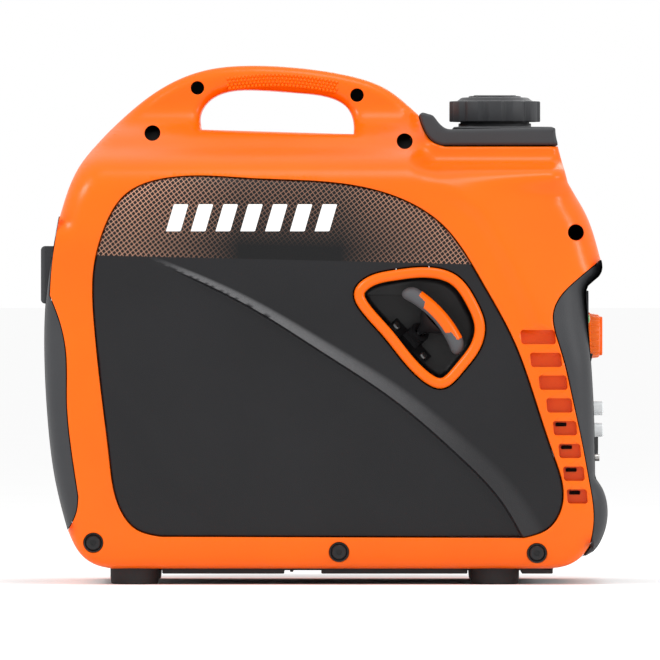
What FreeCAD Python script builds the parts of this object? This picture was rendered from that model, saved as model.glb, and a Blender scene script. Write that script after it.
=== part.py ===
"""Portable inverter generator, about 2 kW, as a parametric FreeCAD document.

Frame: millimetres, +X to the control panel, -Y to the starter side, +Z up.
The origin is on the floor, under the middle of the overall box.
Outlines of the mouldings are given on a grid: X in percent of body_length from
the middle, Z in percent of body_height from the floor.
"""
import FreeCAD, Part

import math
import os

import Sketcher
from FreeCAD import Placement, Rotation, Vector

os.makedirs("parts", exist_ok=True)
doc = FreeCAD.newDocument("PortableGenerator")

# ---------------------------------------------------------------- sizes
SIZES = (
    ("body_length", 505.0, "overall length, rear hood to front bumper"),
    ("body_width", 287.0, "overall width, starter ring to service latch"),
    ("body_height", 463.0, "floor to the top of the carrying handle"),
    ("shell_wall", 3.0, "wall of the plastic mouldings"),
    ("part_gap", 0.8, "gap between neighbouring mouldings"),
    ("corner_radius", 32.0, "upright corners of the body, seen from above"),
    ("handle_thickness", 60.0, "carrying handle, across"),
    ("handle_base", 92.0, "foot of the handle, across"),
    ("deck_width", 184.0, "raised fuel deck, across"),
    ("ring_proud", 4.0, "how far the starter ring stands out of the side"),
    ("ring_width", 9.6, "band of the starter ring"),
    ("cup_depth", 44.0, "depth of the starter recess"),
    ("cup_wall", 2.5, "wall of the starter recess"),
    ("vent_count", 8, "cooling recesses on each side"),
    ("vent_open_count", 4, "recesses, from the bottom, that are slotted through"),
    ("vent_height", 12.7, "height of one cooling recess"),
    ("vent_pitch", 20.2, "step from one cooling recess to the next"),
    ("vent_depth", 12.0, "depth of a cooling recess"),
    ("rib_wall", 2.0, "inner walls of recesses and bosses"),
    ("screw_recess_radius", 7.1, "recess of a body screw"),
    ("handle_recess_radius", 5.6, "recess of a handle screw"),
    ("screw_radius", 2.2, "shank of a body screw"),
    ("screw_head_radius", 4.4, "head of a body screw"),
    ("screw_seat", 14.0, "seat of a body screw, from the middle plane"),
    ("bolt_radius", 3.0, "shank of a shell bolt"),
    ("bolt_head_radius", 7.4, "head of a shell bolt"),
    ("bolt_recess_radius", 8.9, "recess of a shell bolt"),
    ("bolt_recess_depth", 5.0, "depth of that recess"),
    ("bolt_clearance", 0.3, "round a bolt or screw in its hole"),
    ("foot_radius", 22.0, "rubber foot"),
    ("foot_height", 13.4, "rubber foot, floor to its seat"),
    ("foot_spread", 320.5, "front to rear feet"),
    ("foot_track", 200.0, "left to right feet"),
    ("tray_drop", 8.5, "underside of the base tray above the floor"),
    ("tray_floor", 20.0, "top of the base tray's floor above the ground"),
    ("tray_width", 205.0, "raised floor of the tray, across"),
    ("tray_length", 400.0, "base tray, front to rear"),
    ("panel_width", 190.0, "control panel, across"),
    ("panel_height", 162.0, "control panel, height"),
    ("panel_thickness", 3.0, "control panel plate"),
    ("panel_setback", 16.5, "control panel's face behind the front of the box"),
    ("dial_radius", 21.5, "engine dial"),
    ("dial_height", 15.0, "engine dial, out of the panel"),
    ("dial_shaft_radius", 4.0, "shaft of the engine dial"),
    ("running_gap", 0.5, "gap round a knob, button or shaft that moves"),
    ("rocker_width", 21.0, "economy switch"),
    ("rocker_height", 28.0, "economy switch"),
    ("breaker_radius", 6.3, "breaker button under its boot"),
    ("breaker_height", 11.5, "breaker button, out of its collar"),
    ("outlet_width", 36.0, "duplex outlet face"),
    ("outlet_height", 72.0, "duplex outlet face"),
    ("outlet_proud", 3.0, "duplex outlet face, out of the panel"),
    ("dc_socket_bore", 10.6, "12 V socket, inner radius"),
    ("dc_socket_wall", 1.6, "12 V socket, wall"),
    ("dc_socket_depth", 32.0, "12 V socket, length"),
    ("socket_cap_height", 9.0, "rubber cap of the 12 V socket"),
    ("neck_radius", 31.0, "fuel filler neck, outside"),
    ("neck_wall", 3.0, "fuel filler neck"),
    ("neck_top", 17.0, "top of the neck above the deck tray"),
    ("cap_radius", 40.8, "fuel cap"),
    ("cap_height", 20.0, "skirt of the fuel cap"),
    ("cap_wall", 4.0, "wall of the fuel cap"),
    ("cap_flutes", 20, "grip flutes round the fuel cap"),
    ("vent_knob_radius", 23.5, "vent knob on the fuel cap"),
    ("tank_wall", 3.0, "fuel tank"),
    ("crank_radius", 11.0, "crankshaft"),
    ("bearing_radius", 21.0, "main bearing, outside"),
    ("bearing_width", 12.0, "main bearing"),
    ("case_length", 124.0, "crankcase, along X"),
    ("case_width", 76.0, "crankcase, along Y"),
    ("case_height", 104.0, "crankcase"),
    ("fan_radius", 76.0, "cooling fan"),
    ("fan_blades", 16, "blades of the cooling fan"),
    ("rotor_radius", 64.0, "alternator rotor, outside"),
    ("rotor_wall", 8.0, "alternator rotor rim"),
    ("air_gap", 1.2, "between the rotor and the stator"),
    ("stator_teeth", 12, "wound teeth of the stator"),
    ("reel_radius", 46.0, "flange of the starter reel"),
    ("rope_radius", 2.2, "starter rope"),
    ("rope_wrap_radius", 40.0, "middle of the rope's wraps on the reel"),
    ("cylinder_tilt", 40.0, "cylinder, back from upright, in degrees"),
    ("fin_count", 8, "cylinder fins"),
    ("grip_length", 69.5, "starter grip, end to end"),
    ("grip_radius", 8.2, "starter grip"),
    ("grip_slope", 48.2, "starter grip, down towards the front, in degrees"),
    ("latch_radius", 15.0, "service cover latch"),
    ("tail_pipe_radius", 13.0, "exhaust outlet, outside"),
    ("tail_pipe_wall", 1.5, "exhaust outlet"),
    ("louvre_count", 7, "slots in the rear cover"),
    ("dipstick_radius", 14.0, "oil filler cap"),
)
sheet = doc.addObject("Spreadsheet::Sheet", "Sizes")
for row, (alias, value, note) in enumerate(SIZES, 1):
    sheet.set(f"A{row}", note)
    sheet.set(f"B{row}", str(value))
    sheet.setAlias(f"B{row}", alias)
doc.recompute()


class Dim:
    """A size: its value, and the spreadsheet expression that gives it."""

    def __init__(self, value, text):
        self.value = value
        self.text = text

    def _with(self, other, sign, flip=False):
        a, b = (dim(other), self) if flip else (self, dim(other))
        made = {"+": a.value + b.value, "-": a.value - b.value, "*": a.value * b.value}
        if sign == "/":
            made["/"] = a.value / b.value
        return Dim(made[sign], f"({a.text} {sign} {b.text})")

    def __add__(self, other):
        return self._with(other, "+")

    def __radd__(self, other):
        return self._with(other, "+", True)

    def __sub__(self, other):
        return self._with(other, "-")

    def __rsub__(self, other):
        return self._with(other, "-", True)

    def __mul__(self, other):
        return self._with(other, "*")

    def __rmul__(self, other):
        return self._with(other, "*", True)

    def __truediv__(self, other):
        return self._with(other, "/")

    def __neg__(self):
        return self._with(-1.0, "*")


class Sheet:
    """The spreadsheet's cells, by alias."""

    def __getattr__(self, alias):
        return Dim(float(sheet.get(alias)), "Sizes." + alias)


def dim(x):
    """x as a Dim: a plain number stays a number."""
    return x if isinstance(x, Dim) else Dim(float(x), f"({float(x)!r})")


s = Sheet()

# ---------------------------------------------------------------- helpers
UP = Rotation()
TURN = {
    "Z": UP,
    "-Z": Rotation(Vector(1, 0, 0), 180),
    "X": Rotation(Vector(0, 1, 0), 90),
    "-X": Rotation(Vector(0, 1, 0), -90),
    "Y": Rotation(Vector(1, 0, 0), -90),
    "-Y": Rotation(Vector(1, 0, 0), 90),
}
nodes = {}


def bind(obj, **props):
    """Sets each property, and binds it to its expression if it has one."""
    for name, size in props.items():
        size = dim(size)
        setattr(obj, name, size.value)
        if "Sizes." in size.text:
            obj.setExpression(name, size.text)


def place(obj, at=(0, 0, 0), turn=UP):
    """Puts obj's own origin at a point, turned."""
    x, y, z = (dim(v) for v in at)
    obj.Placement = Placement(Vector(x.value, y.value, z.value), turn)
    for axis, size in zip("xyz", (x, y, z)):
        if "Sizes." in size.text:
            obj.setExpression("Placement.Base." + axis, size.text)
    return obj


def node(name, obj):
    """Names a sub-part. Its Label is its file's name."""
    obj.Label = name
    nodes[name] = obj
    return obj


def cylinder(radius, height, at=(0, 0, 0), axis="Z"):
    """A cylinder from the point along the axis."""
    obj = doc.addObject("Part::Cylinder", "Cylinder")
    bind(obj, Radius=radius, Height=height)
    return place(obj, at, TURN[axis])


def block(length, width, height, at=(0, 0, 0)):
    """A box whose bottom face is centred on the point."""
    obj = doc.addObject("Part::Box", "Block")
    bind(obj, Length=length, Width=width, Height=height)
    x, y, z = at
    return place(obj, (dim(x) - dim(length) / 2, dim(y) - dim(width) / 2, z))


def torus(major, minor, at=(0, 0, 0), axis="Z"):
    """A ring round the axis."""
    obj = doc.addObject("Part::Torus", "Torus")
    bind(obj, Radius1=major, Radius2=minor)
    return place(obj, at, TURN[axis])


def fuse(*objs):
    """All the objects as one."""
    if len(objs) == 1:
        return objs[0]
    made = doc.addObject("Part::MultiFuse", "Fuse")
    made.Shapes = list(objs)
    return made


def cut(base, *tools):
    """base without the tools."""
    made = doc.addObject("Part::Cut", "Cut")
    made.Base = base
    made.Tool = fuse(*tools)
    return made


def group(objs):
    """Separate solids as one sub-part."""
    made = doc.addObject("Part::Compound", "Group")
    made.Links = list(objs)
    return made


def rounded(obj, radius, pick):
    """obj with the edges that pick chooses rounded."""
    doc.recompute()
    made = doc.addObject("Part::Fillet", "Fillet")
    made.Base = obj
    r = dim(radius).value
    made.Edges = [(i, r, r) for i, e in enumerate(obj.Shape.Edges, 1) if pick(e)]
    return made


def along(axis):
    """Picks straight edges that run along an axis."""

    def pick(edge):
        if edge.Curve.TypeId != "Part::GeomLine":
            return False
        return abs(abs(edge.Curve.Direction.dot(axis)) - 1) < 1e-6

    return pick


def sketch_of(body, points, plane="XY_Plane"):
    """A closed polygon in the body, its corners bound to their expressions."""
    sk = body.newObject("Sketcher::SketchObject", "Profile")
    origin = [o for o in body.Origin.OriginFeatures if o.Role == plane][0]
    sk.AttachmentSupport = [(origin, "")]
    sk.MapMode = "FlatFace"
    corners = [(dim(x), dim(y)) for x, y in points]
    count = len(corners)
    for i in range(count):
        (x1, y1), (x2, y2) = corners[i], corners[(i + 1) % count]
        start, end = Vector(x1.value, y1.value, 0), Vector(x2.value, y2.value, 0)
        sk.addGeometry(Part.LineSegment(start, end), False)
    for i in range(count):
        sk.addConstraint(Sketcher.Constraint("Coincident", i, 2, (i + 1) % count, 1))
    for i, corner in enumerate(corners):
        for kind, axis, size in zip(("DistanceX", "DistanceY"), (-2, -1), corner):
            if abs(size.value) < 1e-9:
                sk.addConstraint(Sketcher.Constraint("PointOnObject", i, 1, axis))
                continue
            k = sk.addConstraint(Sketcher.Constraint(kind, -1, 1, i, 1, size.value))
            if "Sizes." in size.text:
                sk.setExpression(f"Constraints[{k}]", size.text)
    return sk


def turned(name, profile, at=(0, 0, 0), turn=UP):
    """A body turned about its own Z from (radius, height) corners."""
    body = doc.addObject("PartDesign::Body", name)
    sk = sketch_of(body, profile, "XZ_Plane")
    lathe = body.newObject("PartDesign::Revolution", "Turning")
    lathe.Profile = sk
    lathe.ReferenceAxis = (sk, ["V_Axis"])
    lathe.Angle = 360
    return place(body, at, turn)


def padded(name, points, height, at=(0, 0, 0), turn=UP):
    """A body padded up its own Z from a polygon."""
    body = doc.addObject("PartDesign::Body", name)
    sk = sketch_of(body, points)
    pad = body.newObject("PartDesign::Pad", "Pad")
    pad.Profile = sk
    bind(pad, Length=height)
    return place(body, at, turn)


def patterned(body, points, height, count, pocket=False, low=0.0):
    """Adds, or cuts, a polygon's pad to a body, repeated round its Z axis."""
    sk = sketch_of(body, points)
    if dim(low).value:
        sk.AttachmentOffset = Placement(Vector(0, 0, dim(low).value), UP)
    kind = "PartDesign::Pocket" if pocket else "PartDesign::Pad"
    feature = body.newObject(kind, "Repeated")
    feature.Profile = sk
    feature.Reversed = pocket
    bind(feature, Length=height)
    doc.recompute()
    ring = body.newObject("PartDesign::PolarPattern", "Ring")
    ring.Originals = [feature]
    ring.Axis = (sk, ["N_Axis"])
    ring.Angle = 360
    ring.Occurrences = int(count.value)
    body.Tip = ring
    return body


def feature(name, shape):
    """A sub-part whose free form is set from Part's own functions."""
    made = doc.addObject("Part::Feature", name)
    made.Shape = shape
    return node(name, made)


def rectangle(length, width):
    """Corners of a rectangle about the origin."""
    a, b = dim(length) / 2, dim(width) / 2
    return ((-a, -b), (a, -b), (a, b), (-a, b))


# ---------------------------------------------------------------- outlines
LENGTH = s.body_length.value
WIDTH = s.body_width.value
HEIGHT = s.body_height.value
SIDE = WIDTH / 2 - s.ring_proud.value  # flat of the body's side, from the middle
GAP = s.part_gap.value
WALL = s.shell_wall.value

TOP_EDGE = (
    (-46.5, 70.8), (-43.3, 80.0), (-40.0, 84.8), (-33.8, 91.6), (-27.7, 96.3),
    (-20.7, 99.2), (-13.6, 100.0), (-5.7, 99.7), (4.0, 98.2), (11.0, 95.6), (16.8, 90.4),
)
DECK_FILLET = ((16.8, 90.4), (18.0, 86.8), (19.4, 85.0), (21.5, 84.2))
NOSE_SLOPE = ((41.4, 84.2), (43.1, 77.2))
NOSE_EDGE = ((43.1, 77.2), (44.7, 74.3), (46.3, 71.2), (47.7, 67.2), (48.9, 62.4))
BEZEL_HOOK = ((48.9, 62.4), (44.4, 58.3), (41.7, 55.3), (40.4, 52.0), (40.9, 47.8))
BEZEL_EDGE = (
    (40.9, 47.8), (42.3, 42.8), (43.8, 35.7), (45.4, 27.6), (46.7, 20.0), (47.5, 12.0), (46.8, 7.3),
)
SOLE_FRONT = ((46.8, 7.3), (45.3, 5.2), (42.8, 3.6), (39.6, 3.0))
SOLE_REAR = ((-37.3, 3.0), (-39.8, 3.6), (-42.3, 5.2), (-44.0, 7.7), (-45.1, 10.4))
TAIL_HOOK = ((-45.1, 10.4), (-43.5, 14.0), (-43.2, 17.0))
TAIL_EDGE = ((-43.2, 17.0), (-44.4, 25.7), (-45.2, 35.0), (-45.4, 45.0), (-46.6, 51.0), (-48.2, 55.5))
TAIL_RISE = ((-48.2, 55.5), (-48.0, 59.5), (-46.5, 70.8))
REAR_FACE = ((-45.1, 10.4), (-47.2, 19.6), (-48.6, 31.5), (-49.2, 45.0), (-48.9, 55.1), (-46.5, 70.8))
FRONT_BROW = ((48.9, 62.4), (49.1, 60.7), (48.2, 58.8), (46.6, 57.4), (46.2, 56.0))
FRONT_FACE = ((46.2, 56.0), (47.0, 44.0), (47.5, 35.3), (47.8, 20.5))
BUMPER = ((47.8, 20.5), (49.0, 18.6), (50.0, 14.2), (49.0, 8.8), (46.8, 5.8), (45.3, 5.2))
PANEL_EDGE = (
    (35.2, 9.0), (39.6, 10.8), (42.1, 16.0), (40.5, 24.8), (37.3, 35.3), (33.5, 46.8),
    (27.8, 58.3), (20.7, 69.3), (12.7, 74.5), (3.1, 77.0), (-12.7, 78.0), (-28.0, 78.0),
    (-34.8, 75.0), (-38.6, 68.5), (-40.5, 60.5), (-40.4, 50.0), (-39.3, 38.2),
    (-37.7, 23.8), (-35.9, 14.6), (-33.0, 10.6), (-28.6, 9.2),
)
HANDLE_ARCH = (
    (-21.7, 87.5), (-21.9, 90.0), (-20.3, 93.1), (-17.2, 94.8), (-12.0, 95.2), (-4.0, 94.6),
    (1.5, 93.6), (4.2, 91.8), (5.3, 88.8), (5.3, 86.6),
)
RING_EDGE = (
    (5.2, 56.0), (7.6, 59.0), (12.0, 60.3), (18.7, 60.9), (23.6, 59.2), (26.8, 54.5), (28.4, 49.5),
    (27.6, 45.5), (24.6, 41.0), (20.7, 37.5), (17.3, 39.2), (10.4, 47.8), (6.4, 52.8),
)
BODY_SCREWS = ((-30.3, 86.8), (14.3, 85.2), (44.4, 67.6))
HANDLE_SCREWS = ((-22.4, 95.6), (5.9, 94.2))
SHELL_BOLTS = ((-40.5, 8.1), (2.7, 6.3), (37.5, 6.1))
# Half of the cross-section: share of the side's half width, percent of the height.
SECTION_FOOT = ((0.90, 3.0), (0.965, 4.0), (0.99, 6.5), (1.0, 11.0))
SECTION_SHOULDER = ((1.0, 66.0), (0.995, 74.0), (0.95, 78.6), (0.80, 81.3), (0.58, 82.9))


def grid(point):
    """A grid point in the XZ plane."""
    return Vector(point[0] * LENGTH / 100, 0, point[1] * HEIGHT / 100)


def spline(points, closed=False):
    """One smooth edge through the points."""
    curve = Part.BSplineCurve()
    curve.interpolate(Points=points, PeriodicFlag=closed)
    return curve.toShape()


def outline(*stretches):
    """A flat face inside stretches of grid points laid end to end."""
    edges = []
    last = stretches[-1][-1]
    for points in stretches:
        if points[0] != last:
            edges.append(Part.makeLine(grid(last), grid(points[0])))
        if len(points) == 2:
            edges.append(Part.makeLine(grid(points[0]), grid(points[1])))
        else:
            edges.append(spline([grid(p) for p in points]))
        last = points[-1]
    return Part.Face(Part.Wire(edges))


def plain(edge):
    """The edge redrawn as a line, an arc or a spline that ends exactly on its vertices."""
    start = edge.firstVertex().Point
    end = edge.lastVertex().Point
    if edge.Curve.TypeId == "Part::GeomLine" or edge.Length < 1.0:
        return Part.makeLine(start, end)
    first, last = edge.ParameterRange
    count = max(6, int(edge.Length / 8))
    inner = [edge.valueAt(first + (last - first) * k / count) for k in range(1, count)]
    return spline([start, *inner, end])


def inset(face, distance):
    """The face drawn in by a distance, or out by a negative one, with plain edges."""
    if not distance:
        return face
    wire = face.makeOffset2D(-distance).OuterWire
    return Part.Face(Part.Wire([plain(edge) for edge in wire.OrderedEdges]))


def slab(face, low, high):
    """An XZ face, extruded from one y to another."""
    moved = face.copy()
    moved.translate(Vector(0, low, 0))
    return moved.extrude(Vector(0, high - low, 0))


def reverse(points):
    """The same stretch, run the other way."""
    return tuple(reversed(points))


orange_outline = outline(
    TOP_EDGE, DECK_FILLET, NOSE_SLOPE, NOSE_EDGE, BEZEL_HOOK, BEZEL_EDGE,
    SOLE_FRONT, SOLE_REAR, TAIL_HOOK, TAIL_EDGE, TAIL_RISE,
)
body_outline = outline(
    TOP_EDGE, DECK_FILLET, NOSE_SLOPE, NOSE_EDGE, FRONT_BROW, FRONT_FACE, BUMPER,
    ((45.3, 5.2), (42.8, 3.6), (39.6, 3.0)), SOLE_REAR, REAR_FACE,
)
rear_outline = outline(REAR_FACE, reverse(TAIL_RISE), reverse(TAIL_EDGE), reverse(TAIL_HOOK))
front_outline = outline(
    FRONT_BROW, FRONT_FACE, BUMPER, ((45.3, 5.2), (46.8, 7.3)), reverse(BEZEL_EDGE), reverse(BEZEL_HOOK)
)
panel_outline = outline(PANEL_EDGE)
arch_outline = outline(HANDLE_ARCH)
ring_edge = spline([grid(p) for p in RING_EDGE], closed=True)


def ring_path(distance):
    """The starter ring's outline as one edge, drawn in by a distance."""
    first, last = ring_edge.ParameterRange
    points = []
    for k in range(48):
        u = first + (last - first) * k / 48
        points.append(ring_edge.valueAt(u) + Vector(0, 1, 0).cross(ring_edge.tangentAt(u)) * distance)
    return spline(points, closed=True)


def ring_face(distance):
    """The face inside that outline."""
    return Part.Face(Part.Wire([ring_path(distance)]))


def section(shoulder_top, half_top, top):
    """Cross-section of the body, in the YZ plane, drawn on the -Y side and mirrored."""

    def at(share, percent):
        return Vector(0, -share * SIDE, percent * HEIGHT / 100)

    foot = [at(*p) for p in SECTION_FOOT]
    shoulder = [at(*p) for p in SECTION_SHOULDER]
    head = Vector(0, -half_top, HEIGHT * shoulder_top / 100)
    knee = Vector(0, -half_top, HEIGHT * top / 100)
    edges = [
        Part.makeLine(Vector(0, 0, foot[0].z), foot[0]),
        spline(foot),
        Part.makeLine(foot[-1], shoulder[0]),
        spline([*shoulder, head]),
        Part.makeLine(head, knee),
        Part.makeLine(knee, Vector(0, 0, knee.z)),
    ]
    half = Part.Wire(edges)
    other = half.mirror(Vector(0, 0, 0), Vector(0, 1, 0))
    return Part.Face(Part.Wire(Part.__sortEdges__(half.Edges + other.Edges)))


def form(depth):
    """The whole body without its details, drawn in by a depth."""
    length = LENGTH - 2 * depth
    width = 2 * (SIDE - depth)
    plan = Part.makeBox(length, width, HEIGHT, Vector(-length / 2, -width / 2, 0))
    upright = [e for e in plan.Edges if along(Vector(0, 0, 1))(e)]
    plan = plan.makeFillet(s.corner_radius.value - depth, upright)
    side = slab(inset(body_outline, depth), -WIDTH, WIDTH)
    start = Vector(-LENGTH, 0, 0)
    run = Vector(2 * LENGTH, 0, 0)
    body = inset(section(83.8, s.handle_base.value / 2, 101.0), depth)
    body.translate(start)
    deck = inset(section(83.0, s.deck_width.value / 2, 84.2), depth)
    deck.translate(start)
    deck_front = Part.makeBox(LENGTH, WIDTH, HEIGHT, Vector(grid((17.5, 0)).x + depth, -WIDTH / 2, 0))
    solid = body.extrude(run).common([side])
    return solid.fuse(deck.extrude(run).common([side]).common([deck_front])).common([plan])


# ---------------------------------------------------------------- side mouldings
def slim_handle(shape, depth):
    """Thins the handle, above its foot, to its own thickness."""
    half = s.handle_thickness.value / 2 - depth
    start = grid((-26.0, 87.5))
    end = grid((20.0, 87.5))
    trim = Part.makeBox(end.x - start.x + 2 * depth, WIDTH, HEIGHT, Vector(start.x - depth, half, start.z - depth))
    return shape.cut([trim, trim.mirror(Vector(0, 0, 0), Vector(0, 1, 0))])


def vent(i):
    """Left, right and middle height of cooling recess i, counted from the top."""
    left = (34.8 + 1.775 * i - 0.088 * i * i) * LENGTH / 100
    right = (40.6 + 1.107 * i - 0.044 * i * i) * LENGTH / 100
    return left, right, grid((0, 47.5)).z - i * s.vent_pitch.value


def vent_box(i, grow, depth):
    """The recess as a solid on the -Y side, grown by a wall and as deep as depth."""
    left, right, z = vent(i)
    tall = s.vent_height.value + 2 * grow
    corner = Vector(left - grow, -WIDTH, z - tall / 2)
    return Part.makeBox(right - left + 2 * grow, WIDTH - SIDE + depth, tall, corner)


def vent_slot(i):
    """The opening through the recess, along the top of its floor."""
    left, _, z = vent(i)
    top = z + s.vent_height.value / 2 - 0.8
    return Part.makeBox(9.0, WIDTH, 3.0, Vector(left + 1.5, -WIDTH, top - 3.0))


def rod(point, radius, low, high):
    """A cylinder along Y through a grid point."""
    at = grid(point)
    return Part.makeCylinder(radius, high - low, Vector(at.x, low, at.z), Vector(0, 1, 0))


outer_form = slim_handle(form(0.0), 0.0)
arch_rim = slab(inset(arch_outline, -WALL), -WIDTH, WIDTH)
cavity = slim_handle(form(WALL), WALL).cut([arch_rim])
skin = outer_form.cut([cavity])
belly = Part.makeBox(
    LENGTH, s.tray_width.value + 2 * GAP, grid((0, 7)).z,
    Vector(-LENGTH / 2, -s.tray_width.value / 2 - GAP, 0),
)


def side_shell(screw_side):
    """The orange half of the housing on the -Y side. The other side has no screw recesses."""
    vents = range(int(s.vent_count.value))
    slotted = vents[int(s.vent_count.value - s.vent_open_count.value):]
    rib = s.rib_wall.value
    seat = -s.screw_seat.value
    hole = s.screw_radius.value + s.bolt_clearance.value
    recesses = [(p, s.screw_recess_radius.value) for p in BODY_SCREWS]
    recesses += [(p, s.handle_recess_radius.value) for p in HANDLE_SCREWS]
    bosses = [rod(p, r + rib, -WIDTH, 0) for p, r in recesses]
    pockets = [vent_box(i, rib, s.vent_depth.value + rib) for i in vents]
    added = [x.common([outer_form]) for x in bosses + pockets]
    holes = [rod(p, hole, -WIDTH if screw_side else -2 * s.screw_seat.value + 4, 0) for p, _ in recesses]
    if screw_side:
        holes += [rod(p, r, -WIDTH, seat) for p, r in recesses]
    bolt_floor = -SIDE + s.bolt_recess_depth.value
    for point in SHELL_BOLTS:
        added.append(rod(point, s.bolt_recess_radius.value + rib, -WIDTH, bolt_floor + WALL).common([outer_form]))
        holes.append(rod(point, s.bolt_recess_radius.value, -WIDTH, bolt_floor))
        holes.append(rod(point, s.bolt_radius.value + s.bolt_clearance.value, -WIDTH, 0))
    holes += [vent_box(i, 0.0, s.vent_depth.value) for i in vents]
    holes += [vent_slot(i) for i in slotted]
    holes += [slab(arch_outline, -WIDTH, WIDTH), slab(panel_outline, -WIDTH, 0), belly]
    region = slab(inset(orange_outline, GAP / 2), -WIDTH, -GAP / 2)
    return skin.fuse(added).common([region]).cut(holes)


def mirrored(shape):
    """The same shape on the other side."""
    return shape.mirror(Vector(0, 0, 0), Vector(0, 1, 0))


feature("starter_side_shell", side_shell(True))
feature("service_side_shell", mirrored(side_shell(False)))

panel_region = inset(panel_outline, GAP)
panel_blank = skin.common([slab(panel_region, -WIDTH, 0)])
ring_mid = s.ring_width.value / 2
feature("starter_side_panel", panel_blank.cut([slab(ring_face(ring_mid - GAP / 2), -WIDTH, 0)]))

# ---------------------------------------------------------------- ends and deck
panel_x = s.body_length / 2 - s.panel_setback  # face of the control panel
panel_z = s.body_height * 0.389  # middle of the control panel
PANEL_X = panel_x.value
PANEL_Z = panel_z.value


def panel_block(grow, low, high):
    """The control panel's outline with round corners, between two x."""
    wide = s.panel_width.value + 2 * grow
    tall = s.panel_height.value + 2 * grow
    box = Part.makeBox(high - low, wide, tall, Vector(low, -wide / 2, PANEL_Z - tall / 2))
    return box.makeFillet(12.0, [e for e in box.Edges if along(Vector(1, 0, 0))(e)])


tail_y = s.body_width * 0.12
tail_z = s.body_height * 0.594
hood_low = s.body_height * 0.539
hood_tall = s.body_height * 0.111
louvre_low = s.body_height * 0.20
louvre_pitch = s.body_height * 0.041


def hood_box(grow, low, high):
    """The exhaust hood's window through the rear wall, between two depths from the rear."""
    half = 68 + grow
    tall = hood_tall.value - 14 + 2 * grow
    corner = Vector(-LENGTH / 2 + low, -half, hood_low.value + 7 - grow)
    return Part.makeBox(high - low, 2 * half, tall, corner)


front_region = slab(inset(front_outline, GAP / 2), -WIDTH, WIDTH)
lip = panel_block(WALL, PANEL_X - s.panel_thickness.value - WALL, LENGTH).common([outer_form])
bezel = skin.fuse(lip).common([front_region])
bezel = bezel.cut([
    panel_block(-5.0, 0.0, LENGTH),
    panel_block(GAP / 2, PANEL_X - s.panel_thickness.value, LENGTH),
])
feature("front_bezel", bezel)

rear_region = slab(inset(rear_outline, GAP / 2), -WIDTH, WIDTH)
rear_slots = [
    Part.makeBox(60, 150, 9.0, Vector(-LENGTH / 2, -75, louvre_low.value + i * louvre_pitch.value))
    for i in range(int(s.louvre_count.value))
]
feature("rear_cover", skin.common([rear_region]).cut([*rear_slots, hood_box(0.0, -10, 40)]))


def hood():
    """The exhaust hood: a frame proud of the rear, and a slatted insert with a collar for the pipe."""
    tall = hood_tall.value
    frame = Part.makeBox(14, 150, tall, Vector(-LENGTH / 2, -75, hood_low.value))
    frame = frame.makeFillet(4.0, [e for e in frame.Edges if e.BoundBox.XMax < -LENGTH / 2 + 1])
    frame = frame.cut([outer_form])
    slats = [
        Part.makeBox(9, 134, 2.4, Vector(-LENGTH / 2 + 3.5, -67, hood_low.value + 7 + k * (tall - 14) / 4))
        for k in (1, 2, 3)
    ]
    pipe_at = Vector(-LENGTH / 2 + 1, tail_y.value, tail_z.value)
    collar = Part.makeCylinder(s.tail_pipe_radius.value + 4, 12, pipe_at, Vector(1, 0, 0))
    bore = Part.makeCylinder(s.tail_pipe_radius.value + 0.6, 60, pipe_at - Vector(8, 0, 0), Vector(1, 0, 0))
    solid = frame.fuse([hood_box(-GAP, 1.5, 13.0)]).cut([hood_box(-GAP - 2.5, -10, 40)])
    return solid.fuse([*slats, collar]).cut([bore])


feature("exhaust_hood", hood())

deck_z = s.body_height * 0.842
rim_z = s.body_height * 0.877
neck_x = s.body_length * 0.304
neck_clear = s.neck_radius.value + 4.5 - WALL
deck_half = s.deck_width.value / 2 - 2.0


def deck_cover():
    """The dark moulding round the filler: a shallow tray with a splash wall against the handle."""
    side = outline(
        ((16.9, 90.1), (17.6, 90.4)), ((19.4, 90.0), (21.2, 87.7)), ((40.9, 87.7), (41.4, 84.35)),
        ((21.5, 84.35), (19.5, 85.1), (18.1, 86.9), (16.9, 90.1)),
    )
    solid = slab(side, -deck_half, deck_half)
    solid = solid.makeFillet(10.0, [e for e in solid.Edges if abs(e.BoundBox.XMin - grid((40.9, 0)).x) < 1 and along(Vector(0, 0, 1))(e) or (abs(abs(e.CenterOfMass.y) - deck_half) < 0.1 and e.BoundBox.XMin > grid((40.0, 0)).x)])
    basin = Part.makeBox(
        grid((40.0, 0)).x - grid((22.5, 0)).x, 2 * deck_half - 12, 40, Vector(grid((22.5, 0)).x, -deck_half + 6, rim_z.value - 4)
    )
    collar = Part.makeCylinder(s.neck_radius.value + 4.5, rim_z.value + 6 - deck_z.value, Vector(neck_x.value, 0, deck_z.value + 0.6))
    bore = Part.makeCylinder(s.neck_radius.value + GAP, 90, Vector(neck_x.value, 0, deck_z.value - 40))
    return solid.cut([basin]).fuse([collar]).cut([bore, outer_form])


feature("fuel_deck_cover", deck_cover())
for name in ("starter_side_shell", "service_side_shell"):
    bore = Part.makeCylinder(s.neck_radius.value + GAP, 90, Vector(neck_x.value, 0, deck_z.value - 40))
    nodes[name].Shape = nodes[name].Shape.cut([bore, hood_box(0.0, -10, 30)])

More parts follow.
